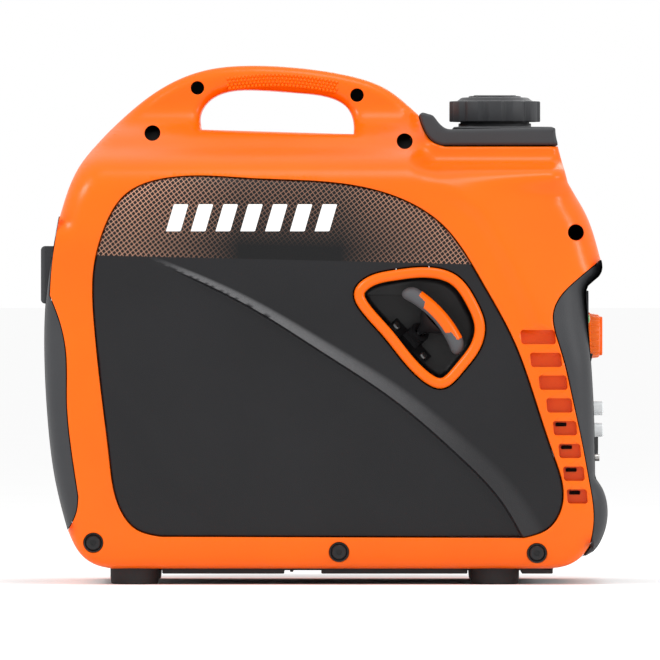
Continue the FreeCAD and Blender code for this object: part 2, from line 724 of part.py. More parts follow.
# ---------------------------------------------------------------- base, feet and fasteners
tray = cut(
    fuse(
        block(s.tray_length, s.tray_width + 38, s.foot_height - s.tray_drop - 0.5, (0, 0, s.tray_drop)),
        block(s.tray_length, s.tray_width, s.tray_floor - s.tray_drop, (0, 0, s.tray_drop)),
        block(s.tray_length - 20, 5, 22, (0, s.tray_width / 2 - 3, s.tray_floor - 1)),
        block(s.tray_length - 20, 5, 22, (0, -s.tray_width / 2 + 3, s.tray_floor - 1)),
    ),
    *[
        cylinder(s.foot_radius + 1.0, s.foot_height + 0.4, (i * s.foot_spread / 2 - 8, j * s.foot_track / 2, 0))
        for i in (-1, 1)
        for j in (-1, 1)
    ],
    *[
        cylinder(s.bolt_radius + s.bolt_clearance, 60, (i * s.foot_spread / 2 - 8, j * s.foot_track / 2, 0))
        for i in (-1, 1)
        for j in (-1, 1)
    ],
    *[
        cylinder(
            s.bolt_radius + s.bolt_clearance,
            s.body_width,
            (s.body_length * (x / 100), -s.body_width / 2, s.body_height * (z / 100)),
            "Y",
        )
        for x, z in SHELL_BOLTS
    ],
    block(30, 400, 3.0, (0.02 * s.body_length, 0, s.tray_drop)),
)
node("base_tray", tray)


def four(make):
    """One copy at each foot."""
    return [
        place(make(), (i * s.foot_spread / 2 - 8, j * s.foot_track / 2, 0)) for i in (-1, 1) for j in (-1, 1)
    ]


def foot():
    return turned(
        "Foot",
        (
            (s.bolt_radius + s.bolt_clearance, 6.0), (9.0, 6.0), (9.0, 0.0), (s.foot_radius - 2.5, 0.0),
            (s.foot_radius - 0.8, 2.5), (s.foot_radius, s.foot_height), (s.bolt_radius + s.bolt_clearance, s.foot_height),
        ),
    )


def foot_bolt():
    return turned(
        "FootBolt",
        ((0.0, 2.0), (6.5, 2.0), (6.5, 5.9), (s.bolt_radius, 5.9), (s.bolt_radius, s.tray_floor + 5), (0.0, s.tray_floor + 5)),
    )


node("rubber_feet", group(four(foot)))


def shell_bolt(sign):
    """Button-head bolt with a hex socket, head outwards."""
    turn = TURN["Y"] if sign < 0 else TURN["-Y"]
    bolts = []
    for x, z in SHELL_BOLTS:
        body = turned(
            "ShellBolt",
            (
                (0.0, 0.0), (s.bolt_head_radius - 2.0, 0.0), (s.bolt_head_radius, 2.2), (s.bolt_head_radius, 4.4),
                (s.bolt_radius, 4.4), (s.bolt_radius, 36.0), (0.0, 36.0),
            ),
        )
        hexagon = [(2.9 * math.cos(k * math.pi / 3), 2.9 * math.sin(k * math.pi / 3)) for k in range(6)]
        socket = padded("Socket", hexagon, 2.6, (0, 0, -0.6))
        made = cut(body, socket)
        y = sign * (s.body_width / 2 - s.ring_proud - s.bolt_recess_depth + 4.6)
        bolts.append(place(made, (s.body_length * (x / 100), y, s.body_height * (z / 100)), turn))
    return bolts


node("chassis_bolts", group(shell_bolt(-1) + shell_bolt(1) + four(foot_bolt)))


def long_screws():
    """The screws that hold the two halves together, heads in the deep recesses."""
    screws = []
    for x, z in BODY_SCREWS + HANDLE_SCREWS:
        body = turned(
            "LongScrew",
            (
                (0.0, 0.0), (s.screw_head_radius, 0.0), (s.screw_head_radius, 3.2), (s.screw_radius, 3.2),
                (s.screw_radius, s.screw_seat + 14.0), (0.0, s.screw_seat + 14.0),
            ),
        )
        at = (s.body_length * (x / 100), -s.screw_seat - 3.3, s.body_height * (z / 100))
        screws.append(place(body, at, TURN["Y"]))
    return screws



# ---------------------------------------------------------------- starter recess and grip
side_y = s.body_width / 2 - s.ring_proud  # flat of the side, from the middle
cup_floor_y = -side_y + s.cup_depth


def starter_ring():
    """The ring: a half-round band along the middle of its outline, standing out of the side."""
    half = s.ring_width.value / 2
    rise = s.ring_proud.value - 0.1
    path = ring_path(ring_mid)
    path.translate(Vector(0, -SIDE - 0.05, 0))
    start = path.valueAt(path.FirstParameter)
    across = Vector(0, 1, 0).cross(path.tangentAt(path.FirstParameter))
    profile = ((-1, 0), (-1, 0.4), (-0.62, 0.86), (0, 1), (0.62, 0.86), (1, 0.4), (1, 0))
    arch = [start + across * half * a - Vector(0, 1, 0) * rise * b for a, b in profile]
    sweep = Part.BRepOffsetAPI.MakePipeShell(Part.Wire([path]))
    sweep.setBiNormalMode(Vector(0, 1, 0))
    sweep.add(Part.Wire([spline(arch), Part.makeLine(arch[-1], arch[0])]))
    sweep.build()
    sweep.makeSolid()
    return sweep.shape()



cup_outer = slab(ring_face(ring_mid + GAP / 2), -SIDE, cup_floor_y.value)
cup_inner = slab(ring_face(ring_mid + GAP / 2 + s.cup_wall.value), -WIDTH, cup_floor_y.value - s.cup_wall.value)

slope = math.radians(s.grip_slope.value)
grip_along = Vector(math.cos(slope), 0, -math.sin(slope))
grip_across = Vector(math.sin(slope), 0, math.cos(slope))
grip_x = s.body_length * 0.195
grip_z = s.body_height * 0.5095
grip_y = -side_y + 7.5
grip_centre = Vector(grip_x.value, grip_y.value, grip_z.value)
stem_way = (grip_across + Vector(0, -1, 0)).normalize()
stem_turn = Rotation(grip_along, stem_way.cross(grip_along), stem_way, "ZXY")
guide_at = grip_centre - stem_way * 33.0
lead_way = Vector(grip_across)


def from_grip(offset):
    """A point given off the grip's centre, bound to the grip's place."""
    return tuple(base + part for base, part in zip((grip_x, grip_y, grip_z), offset))


rope_hole = Part.makeCylinder(
    s.rope_radius.value + 2.4, 40, guide_at - lead_way * 34.0 + Vector(0, 0, 0), lead_way
)
feature("starter_recess", Part.makeCompound([cup_outer.cut([cup_inner, rope_hole]), starter_ring()]))


def grip_bow():
    """The grip: a bar that bows outwards, with round ends, about the grip's own centre."""
    half = s.grip_length.value / 2 - s.grip_radius.value
    ends = [Vector(-half, 0, -3.0), Vector(0, 0, 4.5), Vector(half, 0, -3.0)]
    path = Part.Arc(*ends).toShape()
    tangent = path.tangentAt(path.FirstParameter)
    circle = Part.Wire([Part.Circle(ends[0], tangent, s.grip_radius.value).toShape()])
    bar = Part.Wire([path]).makePipeShell([circle], True, True)
    tips = [Part.makeSphere(s.grip_radius.value, e) for e in (ends[0], ends[2])]
    return bar.fuse(tips)


bar = grip_bow()
pad_half = s.grip_length.value / 2 - s.grip_radius.value - 5.0
pad_box = Part.makeBox(2 * pad_half, 40, 40, Vector(-pad_half, -20, 1.0))
stem_profile = Part.makeCone(6.8, 4.5, 20.0, Vector(0, 0, 0.0), Vector(0, 0, -1))
rope_seat = Part.makeCylinder(s.rope_radius.value + 0.05, 40, Vector(0, 0, -24), Vector(0, 0, 1))
insert = bar.common([pad_box])
core = bar.cut([pad_box]).fuse([stem_profile]).cut([rope_seat])
grip_place = Placement(grip_centre, stem_turn)
feature("starter_grip", core)
feature("starter_grip_insert", insert)
for name in ("starter_grip", "starter_grip_insert"):
    place(nodes[name], from_grip((0, 0, 0)), stem_turn)

rope_pull = cylinder(s.rope_radius, 24.0)
place(rope_pull, from_grip(tuple(stem_way * -31.0)), stem_turn)
node("starter_rope_pull", rope_pull)

guide = cut(
    fuse(
        cylinder(9.0, 13.0, (0, 0, -16.0)),
        block(46.0, 14.0, 3.0, (0, -7.0, -16.0)),
        block(16.0, 16.0, 8.0, (0, -6.0, -16.0)),
    ),
    cylinder(s.rope_radius + 1.2, 60.0, (0, 0, -40.0)),
    cylinder(5.2, 6.0, (0, 0, -5.0)),
    *[cylinder(1.9, 20.0, (i * 18.0, -8.0, -26.0)) for i in (-1, 1)],
)
place(guide, from_grip(tuple(stem_way * -21.0)), stem_turn)
node("rope_guide", guide)


def guide_screw(i):
    profile = ((0.0, -20.0), (1.7, -20.0), (1.7, -12.9), (3.6, -12.9), (3.6, -11.4), (2.4, -10.4), (0.0, -10.4))
    body = turned("GuideScrew", profile)
    offset = stem_turn.multVec(Vector(i * 18.0, -8.0, 0)) - stem_way * 21.0
    return place(body, from_grip(tuple(offset)), stem_turn)


node("housing_screws", group(long_screws() + [guide_screw(-1), guide_screw(1)]))

# ---------------------------------------------------------------- engine, alternator and starter
crank_x = s.body_length * -0.030
crank_z = s.body_height * 0.2915
reel_y = -side_y + 24.0  # outer face of the starter reel
engine_at = (crank_x, 0, crank_z)
CRANK = Vector(crank_x.value, 0, crank_z.value)


def on_crank(y):
    """A place on the crankshaft's axis."""
    return (crank_x, y, crank_z)


shaft_out = reel_y - 1.0
shaft = cut(
    fuse(
        cylinder(s.crank_radius, s.case_width / 2 + 30 - shaft_out, on_crank(shaft_out), "Y"),
        cylinder(30.0, 9.0, on_crank(8.0), "Y"),
        cylinder(30.0, 9.0, on_crank(33.0), "Y"),
    ),
    cylinder(3.0, 20.0, on_crank(s.case_width / 2 + 12), "Y"),
)
node("crankshaft", shaft)


def bearing(y):
    made = cut(
        cylinder(s.bearing_radius, s.bearing_width),
        cylinder(s.crank_radius + 0.05, s.bearing_width + 2, (0, 0, -1)),
    )
    return place(made, on_crank(y), TURN["Y"])


case_y = -14.0  # starter-side face of the crankcase
bearing_ys = (case_y + 3, s.case_width + case_y - s.bearing_width - 3)
node("main_bearings", group([bearing(y) for y in bearing_ys]))

case = rounded(
    block(s.case_length, s.case_width, s.case_height, (0, s.case_width / 2, -s.case_height / 2)),
    14.0,
    along(Vector(0, 1, 0)),
)
case = cut(
    fuse(case, block(70.0, s.case_width - 10, 20.0, (0, s.case_width / 2, -s.case_height / 2 - 8))),
    cylinder(36.0, s.case_width - 2 * (s.bearing_width + 7), (0, s.bearing_width + 7, 0), "Y"),
    cylinder(s.crank_radius + 1.5, s.case_width + 60, (0, -30, 0), "Y"),
    *[cylinder(s.bearing_radius + 0.02, s.bearing_width + 0.1, (0, y - case_y, 0), "Y") for y in bearing_ys],
)
cylinder_turn = Rotation(Vector(0, 1, 0), -s.cylinder_tilt.value)
above_deck = block(240.0, 200.0, 120.0, (0, s.case_width / 2, 0))
above_deck = place(cut(above_deck, block(260.0, 400.0, 60.8)), (0, 0, 0), cylinder_turn)
case = place(cut(case, above_deck), (crank_x, case_y, crank_z))

fan_y = -side_y + 46.0
ratchet_y = reel_y + 17.0


def fan():
    """Cooling fan on the starter side of the rotor."""
    body = turned(
        "Fan",
        ((34.0, 0.0), (s.rotor_radius, 0.0), (s.fan_radius, 3.0), (s.fan_radius, 6.0), (s.rotor_radius, 3.0), (34.0, 3.0)),
    )
    blade = ((38.0, 3.0), (s.fan_radius - 1, -3.0), (s.fan_radius - 1, 0.0), (38.0, 6.0))
    patterned(body, blade, 18.0, s.fan_blades)
    return place(body, on_crank(fan_y + 22.0), TURN["-Y"])


node("cooling_fan", fan())
rotor_y = fan_y + 22.5
rotor_depth = 42.0
rotor = turned(
    "Rotor",
    (
        (s.crank_radius, 0.0), (s.rotor_radius, 0.0), (s.rotor_radius, rotor_depth),
        (s.rotor_radius - s.rotor_wall, rotor_depth), (s.rotor_radius - s.rotor_wall, 8.0),
        (22.0, 8.0), (20.0, 20.0), (s.crank_radius, 20.0),
    ),
    on_crank(rotor_y),
    TURN["Y"],
)
node("alternator_rotor", rotor)


def stator():
    """Wound stator: a hub with poles that end just inside the rotor's rim."""
    body = turned("Stator", ((26.0, 0.0), (36.0, 0.0), (36.0, 28.0), (26.0, 28.0)))
    reach = s.rotor_radius - s.rotor_wall - s.air_gap
    pole = ((34.0, -4.5), (reach - 4.5, -4.5), (reach - 4.5, -9.0), (reach - 1.0, -9.0),
            (reach - 1.0, 9.0), (reach - 4.5, 9.0), (reach - 4.5, 4.5), (34.0, 4.5))
    patterned(body, pole, 28.0, s.stator_teeth)
    return place(body, on_crank(rotor_y + 10.0), TURN["Y"])


node("alternator_stator", stator())
ratchet = turned(
    "Ratchet",
    ((s.crank_radius, 0.0), (30.0, 0.0), (30.0, -12.0), (26.5, -12.0), (26.5, -3.0), (s.crank_radius, -3.0)),
    on_crank(fan_y + 22.0 - 0.3),
    TURN["Y"],
)
node("starter_ratchet", ratchet)

reel = turned(
    "Reel",
    (
        (s.crank_radius + s.running_gap, 0.0), (s.reel_radius, 0.0), (s.reel_radius, 1.6),
        (s.rope_wrap_radius - s.rope_radius, 1.6), (s.rope_wrap_radius - s.rope_radius, 11.4),
        (s.reel_radius, 11.4), (s.reel_radius, 13.0), (s.crank_radius + s.running_gap, 13.0),
    ),
    on_crank(reel_y),
    TURN["Y"],
)
node("starter_reel", reel)
wraps = [
    place(torus(s.rope_wrap_radius, s.rope_radius - 0.05), on_crank(reel_y + 1.7 + (2 * k + 1) * 2.2), TURN["Y"])
    for k in range(2)
]
node("reel_rope", group(wraps))

housing = cut(
    fuse(
        cylinder(s.fan_radius + 6.0, 3.0, on_crank(reel_y - 8.0), "Y"),
        cylinder(s.fan_radius + 6.0, 30.0, on_crank(reel_y - 8.0), "Y"),
    ),
    cylinder(s.fan_radius + 3.0, 40.0, on_crank(reel_y - 5.0), "Y"),
    *[
        place(block(14.0, 60.0, 30.0, (0, 0, 55.0)), on_crank(reel_y + 22.0), Rotation(Vector(0, 1, 0), a))
        for a in (0, 90, 180, 270)
    ],
    block(80.0, 18.0, 100.0, (crank_x + 62, reel_y + 9, crank_z + 2)),
)
node("recoil_housing", housing)


def recoil_spring():
    """The flat return spring, coiled between the housing and the reel."""
    turns = 5
    steps = 16
    points = []
    for k in range(turns * steps + 1):
        angle = 2 * math.pi * k / steps
        radius = 15.0 + 3.6 * k / steps
        points.append(CRANK + Vector(radius * math.cos(angle), reel_y.value - 4.4, radius * math.sin(angle)))
    path = Part.Wire([spline(points)])
    start = points[0]
    corner = start + Vector(-0.4, 0, 0)
    strip = Part.makePolygon([
        corner, corner + Vector(0.8, 0, 0), corner + Vector(0.8, 3.6, 0), corner + Vector(0, 3.6, 0), corner
    ])
    return path.makePipeShell([strip], True, True)


feature("recoil_spring", recoil_spring())

barrel_y = case_y + s.case_width / 2


def on_cylinder(obj):
    """Puts a piece that is drawn along the cylinder's own Z in place."""
    return place(obj, (crank_x, barrel_y, crank_z), cylinder_turn)


fins = [block(88.0, 84.0, 2.4, (0, 0, 62 + k * 6.4)) for k in range(int(s.fin_count.value))]
barrel = cut(
    fuse(cylinder(34.0, 56.0, (0, 0, 58)), *[rounded(f, 12.0, along(Vector(0, 0, 1))) for f in fins]),
    cylinder(24.0, 80.0, (0, 0, 50)),
)
node("cylinder_block", on_cylinder(cut(barrel, block(200.0, 200.0, 61.0, (0, 0, 0)))))
head = fuse(
    rounded(block(86.0, 82.0, 14.0, (0, 0, 114.2)), 12.0, along(Vector(0, 0, 1))),
    rounded(block(78.0, 74.0, 12.0, (0, 0, 128.0)), 10.0, along(Vector(0, 0, 1))),
)
head = cut(
    head,
    cylinder(5.3, 40.0, (-14.0, 60.0, 128.0), "-Y"),
    cylinder(10.0, 22.8, (-14.0, 60.0, 128.0), "-Y"),
)
cover = rounded(block(70.0, 66.0, 20.5, (0, 0, 139.5)), 9.0, lambda e: e.BoundBox.ZMax > 150)
node("cylinder_head", on_cylinder(fuse(head, cover)))
plug = turned(
    "SparkPlug",
    ((0.0, 0.0), (5.0, 0.0), (5.0, 16.0), (9.0, 16.0), (9.0, 22.0), (5.5, 23.0), (4.6, 44.0), (2.0, 44.0), (2.0, 50.0), (0.0, 50.0)),
)
plug_turn = cylinder_turn.multiply(TURN["Y"])
plug_at = cylinder_turn.multVec(Vector(-14.0, 21.5, 128.0))


def off_crank(offset, y):
    """A point off the crankshaft's axis, with its own y."""
    return (crank_x + offset.x, y + offset.y, crank_z + offset.z)


node("spark_plug", place(plug, off_crank(plug_at, barrel_y), plug_turn))
boot = turned("PlugBoot", ((5.8, 24.0), (9.5, 24.0), (8.5, 54.0), (5.0, 56.0), (0.0, 56.0), (0.0, 50.3), (5.8, 50.3)))
node("spark_plug_boot", place(boot, off_crank(plug_at, barrel_y), plug_turn))

muffler_low = s.body_height * 0.29
muffler = cut(
    rounded(block(60.0, 140.0, 158.0), 12.0, lambda e: True),
    rounded(block(56.0, 136.0, 154.0, (0, 0, 2.0)), 10.0, lambda e: True),
    cylinder(s.tail_pipe_radius - s.tail_pipe_wall, 30.0, (-20, tail_y - 6, tail_z - muffler_low), "-X"),
)
node("muffler", place(muffler, (s.body_length * -0.385, 6, muffler_low)))
muffler_face = s.body_length * -0.385 - 30
pipe = turned(
    "TailPipe",
    (
        (s.tail_pipe_radius - s.tail_pipe_wall, 0.0), (s.tail_pipe_radius, 0.0),
        (s.tail_pipe_radius, muffler_face + s.body_length / 2 - 1.5),
        (s.tail_pipe_radius - s.tail_pipe_wall, muffler_face + s.body_length / 2 - 1.5),
    ),
    (muffler_face - 0.05, tail_y, tail_z),
    TURN["-X"],
)
mesh_x = -s.body_length / 2 + 10
mesh = cut(
    cylinder(s.tail_pipe_radius - s.tail_pipe_wall + 0.1, 2.0, (mesh_x, tail_y, tail_z), "X"),
    *[
        cylinder(1.1, 8.0, (mesh_x - 3, tail_y + 3.4 * i, tail_z + 3.4 * j), "X")
        for i in range(-2, 3)
        for j in range(-2, 3)
    ],
)
node("tail_pipe", fuse(pipe, mesh))

carb_length = 34.0
carb = fuse(
    rounded(block(carb_length, 40.0, 44.0, (0, 0, -22.0)), 5.0, along(Vector(0, 0, 1))),
    cylinder(17.0, 22.0, (0, 0, -40.0)),
    cylinder(14.0, 26.0, (0, 43.5, 0), "-Y"),
    place(cylinder(10.5, 37.2), (0, 0, 0), cylinder_turn.multiply(TURN["-X"])),
)
carb_at = cylinder_turn.multVec(Vector(82.0, 0, 112.0))
node("carburettor", place(carb, off_crank(carb_at, barrel_y)))
cleaner_x = crank_x + carb_at.x - 8
cleaner_z = crank_z + carb_at.z - 46
cleaner_y = barrel_y + 44
case_box = cut(
    rounded(block(96.0, 54.0, 92.0, (0, 27.0, 0)), 9.0, along(Vector(0, 1, 0))),
    rounded(block(90.0, 60.0, 86.0, (0, 33.0, 3.0)), 7.0, along(Vector(0, 1, 0))),
)
case_box = cut(case_box, cylinder(11.0, 20.0, (8, -8, 46), "Y"))
lid = rounded(block(96.0, 4.0, 92.0, (0, 56.0, 0)), 8.0, along(Vector(0, 1, 0)))
node("air_cleaner_case", place(fuse(case_box, lid), (cleaner_x, cleaner_y, cleaner_z)))
element = rounded(block(88.0, 34.0, 84.0, (0, 24.0, 4.0)), 6.5, along(Vector(0, 1, 0)))
node("air_filter_foam", place(element, (cleaner_x, cleaner_y, cleaner_z)))
mount_height = crank_z - s.case_height / 2 - 8 - s.tray_floor
mounts = [
    place(
        turned("EngineMount", ((0.0, 0.0), (12.0, 0.0), (9.5, mount_height / 2), (12.0, mount_height), (0.0, mount_height))),
        (crank_x + 22.0 * i, case_y + s.case_width / 2 + 20.0 * j, s.tray_floor),
    )
    for i in (-1, 1)
    for j in (-1, 1)
]
node("engine_mounts", group(mounts))

oil_turn = Rotation(Vector(1, 0, 0), -35)
oil_at = (crank_x + s.case_length / 2 - 12, case_y + s.case_width - 14, crank_z + s.case_height / 2 - 6)
oil_neck = turned(
    "OilNeck",
    ((s.dipstick_radius - 6, 4.0), (s.dipstick_radius - 2, 4.0), (s.dipstick_radius - 2, 20.0), (s.dipstick_radius - 6, 20.0)),
    oil_at,
    oil_turn,
)
below = oil_turn.multVec(Vector(0, 0, -26.0))
oil_way = place(cylinder(s.dipstick_radius - 6, 60.0), tuple(a + b for a, b in zip(oil_at, below)), oil_turn)
node("crankcase", cut(fuse(case, oil_neck), oil_way))
oil_cap = turned(
    "OilCap",
    (
        (0.0, -22.0), (2.0, -22.0), (2.0, 8.0), (s.dipstick_radius - 7, 8.0), (s.dipstick_radius - 7, 22.6),
        (s.dipstick_radius, 22.6), (s.dipstick_radius, 32.0), (0.0, 32.0),
    ),
    oil_at,
    oil_turn,
)
patterned(
    oil_cap, ((s.dipstick_radius - 1.2, -1.5), (s.dipstick_radius + 3, -1.5), (s.dipstick_radius + 3, 1.5), (s.dipstick_radius - 1.2, 1.5)),
    60.0, Dim(12.0, "12"), pocket=True, low=22.0,
)
node("oil_dipstick_cap", oil_cap)

# ---------------------------------------------------------------- fuel system
tank_low = s.body_height * 0.635
tank_high = s.body_height * 0.778
tank_x = s.body_length * 0.235
tank_long = s.body_length * 0.32
tank_wide = s.body_width * 0.60
tank_blank = rounded(block(tank_long, tank_wide, tank_high - tank_low, (tank_x, 0, tank_low)), 16.0, lambda e: True)
tank_space = rounded(
    block(
        tank_long - 2 * s.tank_wall, tank_wide - 2 * s.tank_wall, tank_high - tank_low - 2 * s.tank_wall,
        (tank_x, 0, tank_low + s.tank_wall),
    ),
    13.0,
    lambda e: True,
)
tank = cut(tank_blank, tank_space, cylinder(s.neck_radius + 0.05, 60.0, (neck_x, 0, tank_high - 20)))
node("fuel_tank", tank)
neck_z = rim_z + s.neck_top
neck = turned(
    "Neck",
    (
        (s.neck_radius - s.neck_wall, 0.0), (s.neck_radius, 0.0), (s.neck_radius, neck_z - tank_high + s.tank_wall),
        (s.neck_radius - s.neck_wall, neck_z - tank_high + s.tank_wall),
    ),
    (neck_x, 0, tank_high - s.tank_wall),
)
node("filler_neck", neck)
gasket = turned(
    "Gasket",
    ((0.0, 0.2), (s.neck_radius, 0.2), (s.neck_radius, 2.0), (0.0, 2.0)),
    (neck_x, 0, neck_z),
)
node("fuel_cap_gasket", gasket)
cap_z = rim_z + 6.5
cap_top = cap_z + s.cap_height


def fuel_cap():
    """Fuel cap: a skirted shell with flutes for the hand."""
    inner = s.cap_radius - s.cap_wall
    body = turned(
        "FuelCap",
        (
            (inner, 0.0), (s.cap_radius, 0.0), (s.cap_radius, s.cap_height - 1.0), (s.cap_radius - 1.5, s.cap_height),
            (s.vent_knob_radius + 4, s.cap_height + 1.6), (0.0, s.cap_height + 1.6), (0.0, s.neck_top - 6.5 + 2.4),
            (inner, s.neck_top - 6.5 + 2.4),
        ),
        (neck_x, 0, cap_z),
    )
    flute = (
        (s.cap_radius - 1.6, -1.4), (s.cap_radius + 4, -2.8), (s.cap_radius + 4, 2.8), (s.cap_radius - 1.6, 1.4),
    )
    return patterned(body, flute, s.cap_height + 10, s.cap_flutes, pocket=True, low=-1.0)


node("fuel_cap", fuel_cap())
vent_knob = fuse(
    cylinder(s.vent_knob_radius, 1.2, (neck_x, 0, cap_top + 1.9)),
    block(2 * s.vent_knob_radius - 6, 7.0, 2.6, (neck_x, 0, cap_top + 1.9)),
)
node("fuel_cap_vent_knob", vent_knob)


def hose():
    """Fuel hose from under the tank to the carburettor, one tube with round bends."""
    start = Vector(tank_x.value - tank_long.value * 0.40, barrel_y.value, tank_low.value)
    end = Vector(crank_x.value + carb_at.x + carb_length / 2 + 0.1, start.y, crank_z.value + carb_at.z)
    corner = Vector(start.x, start.y, end.z)
    radius = min(start.z - end.z, start.x - end.x) * 0.45
    a = corner + Vector(0, 0, radius)
    b = corner - Vector(radius, 0, 0)
    middle = corner + Vector(-1, 0, 1) * radius * (1 - math.sqrt(0.5))
    path = Part.Wire([Part.makeLine(start, a), Part.Arc(a, middle, b).toShape(), Part.makeLine(b, end)])
    outside = Part.Wire([Part.Circle(start, Vector(0, 0, 1), 4.5).toShape()])
    return path.makePipeShell([outside], True, True)


feature("fuel_hose", hose())

# ---------------------------------------------------------------- inverter and control panel
inverter_x = s.body_length * 0.285
inverter = fuse(
    block(66.0, 170.0, 34.0, (inverter_x, 0, s.tray_floor + 6)),
    *[block(66.0, 2.4, 24.0, (inverter_x, -78.0 + 12.0 * k, s.tray_floor + 39)) for k in range(14)],
    *[block(10.0, 10.0, 7.0, (inverter_x + 22 * i, 60 * j, s.tray_floor)) for i in (-1, 1) for j in (-1, 1)],
)
node("inverter_module", inverter)

dial_at = (panel_x, 52.0, panel_z + 40)
rocker_at = (panel_x, -52.0, panel_z + 12)
breaker_ats = ((panel_x, -62.0, panel_z - 24), (panel_x, -62.0, panel_z - 43.3))
socket_at = (panel_x, -30.0, panel_z - 56)
outlet_at = (panel_x, 42.0, panel_z - 36)
lamp_ats = [(panel_x, -62.0 + 16.0 * k, panel_z + 56) for k in range(3)]
usb_at = (panel_x, -12.0, panel_z + 12)
ground_at = (panel_x, -74.0, panel_z - 68)
stem = s.panel_thickness + 4  # how far holes run either side of the plate
socket_outer = s.dc_socket_bore + s.dc_socket_wall

plate = block(s.panel_thickness, s.panel_width, s.panel_height, (panel_x - s.panel_thickness / 2, 0, panel_z - s.panel_height / 2))
plate = rounded(plate, 11.6, along(Vector(1, 0, 0)))


def through(obj_radius, at):
    """A round hole through the panel."""
    x, y, z = at
    return cylinder(obj_radius, 2 * stem, (x - stem, y, z), "X")


plate = cut(
    plate,
    through(s.dial_shaft_radius + s.running_gap, dial_at),
    *[through(s.breaker_radius + 1.6, at) for at in breaker_ats],
    through(socket_outer + 0.1, socket_at),
    *[through(4.1, at) for at in lamp_ats],
    through(3.1, ground_at),
    block(2 * stem, s.rocker_width + 2.4, s.rocker_height + 2.4, (panel_x, rocker_at[1], rocker_at[2] - s.rocker_height / 2 - 1.2)),
    block(2 * stem, s.outlet_width + 0.4, s.outlet_height + 0.4, (panel_x, outlet_at[1], outlet_at[2] - s.outlet_height / 2 - 0.2)),
    block(2 * stem, 34.4, 14.4, (panel_x, usb_at[1], usb_at[2] - 7.2)),
)
node("control_panel", plate)

dial = fuse(
    turned(
        "Dial",
        (
            (0.0, s.running_gap), (s.dial_radius, s.running_gap), (s.dial_radius - 0.8, 6.0), (s.dial_radius - 2.4, 7.0), (0.0, 7.0),
        ),
    ),
    padded("Bar", rectangle(11.0, 2 * s.dial_radius - 3), s.dial_height),
    cylinder(s.dial_shaft_radius, 30.0, (0, 0, -24.0)),
)
node("engine_dial", place(dial, dial_at, TURN["X"]))

rocker_box = cut(
    fuse(
        block(s.rocker_height + 5, s.rocker_width + 5, 1.4, (0, 0, 0)),
        block(s.rocker_height + 2, s.rocker_width + 2, 16.0, (0, 0, -16.0)),
    ),
    block(s.rocker_height, s.rocker_width, 14.0, (0, 0, -10.0)),
    block(2.5, s.rocker_width + 1.8, 3.0, (0, 0, -1.25)),
)
place(rocker_box, rocker_at, TURN["X"])
rocker_blade = padded(
    "Rocker",
    ((-s.rocker_height / 2 + 1.2, -1.0), (0.0, -6.0), (s.rocker_height / 2 - 1.2, -1.0), (s.rocker_height / 2 - 1.2, 0.4), (0.0, 1.6), (-s.rocker_height / 2 + 1.2, 4.4)),
    s.rocker_width - 1.0,
)
rocker = fuse(rocker_blade, cylinder(0.9, s.rocker_width + 0.4, (0, 0, -0.7)))
rocker_turn = TURN["X"].multiply(Rotation(Vector(1, 0, 0), 90))
node("economy_rocker", place(rocker, (panel_x, rocker_at[1] + s.rocker_width / 2 - 0.5, rocker_at[2]), rocker_turn))


def breaker_collar(at):
    made = turned(
        "Collar",
        (
            (s.breaker_radius + 0.3, -20.0), (s.breaker_radius + 1.5, -20.0), (s.breaker_radius + 1.5, 0.05),
            (s.breaker_radius + 3.0, 0.05), (s.breaker_radius + 2.6, 2.2), (s.breaker_radius + 0.3, 2.2),
        ),
    )
    return place(made, at, TURN["X"])


node("switch_surrounds", group([rocker_box, *[breaker_collar(at) for at in breaker_ats]]))


def breaker_button(name, at):
    body = turned(
        name,
        (
            (0.0, -14.0), (s.breaker_radius, -14.0), (s.breaker_radius, s.breaker_height + 1.2), (s.breaker_radius - 0.8, s.breaker_height + 2.2),
            (0.0, s.breaker_height + 2.2),
        ),
    )
    return node(name, place(body, at, TURN["X"]))


breaker_button("ac_breaker_button", breaker_ats[0])
breaker_button("dc_breaker_button", breaker_ats[1])

dc_socket = turned(
    "Socket",
    (
        (0.0, -s.dc_socket_depth - 2), (socket_outer, -s.dc_socket_depth - 2), (socket_outer, 0.05), (socket_outer + 2.2, 0.05),
        (socket_outer + 1.8, 1.6), (s.dc_socket_bore, 1.6), (s.dc_socket_bore, -s.dc_socket_depth + 1.6), (0.0, -s.dc_socket_depth + 1.6),
    ),
    socket_at,
    TURN["X"],
)
node("dc_socket", dc_socket)
cap_rim = socket_outer + 0.2
dc_cap = fuse(
    turned("SocketCap", ((0.0, 1.8), (cap_rim, 1.8), (cap_rim, s.socket_cap_height - 2.5), (cap_rim - 3.0, s.socket_cap_height + 0.6), (0.0, s.socket_cap_height + 0.6))),
    block(8.0, 14.0, 2.0, (-cap_rim - 1.5, 0, 1.8)),
    cylinder(1.2, 14.0, (-cap_rim - 5.5, -7.0, 2.8), "Y"),
)
dc_cap_pin_z = socket_at[2] + cap_rim + 5.5
node("dc_socket_cap", place(dc_cap, socket_at, TURN["X"]))

face = block(s.outlet_height, s.outlet_width, 24.0, (0, 0, s.outlet_proud - 24.0))
face = rounded(face, 3.0, along(Vector(0, 0, 1)))
slots = []
for k in (-1, 1):
    for width, along_y in ((8.0, -6.4), (6.4, 6.4)):
        slots.append(block(width, 2.2, 14.0, (k * 19.0 - 3.0, along_y, s.outlet_proud - 13.9)))
    slots.append(cylinder(2.5, 14.0, (k * 19.0 + 8.0, 0, s.outlet_proud - 13.9)))
node("ac_outlets", place(cut(face, *slots), outlet_at, TURN["X"]))

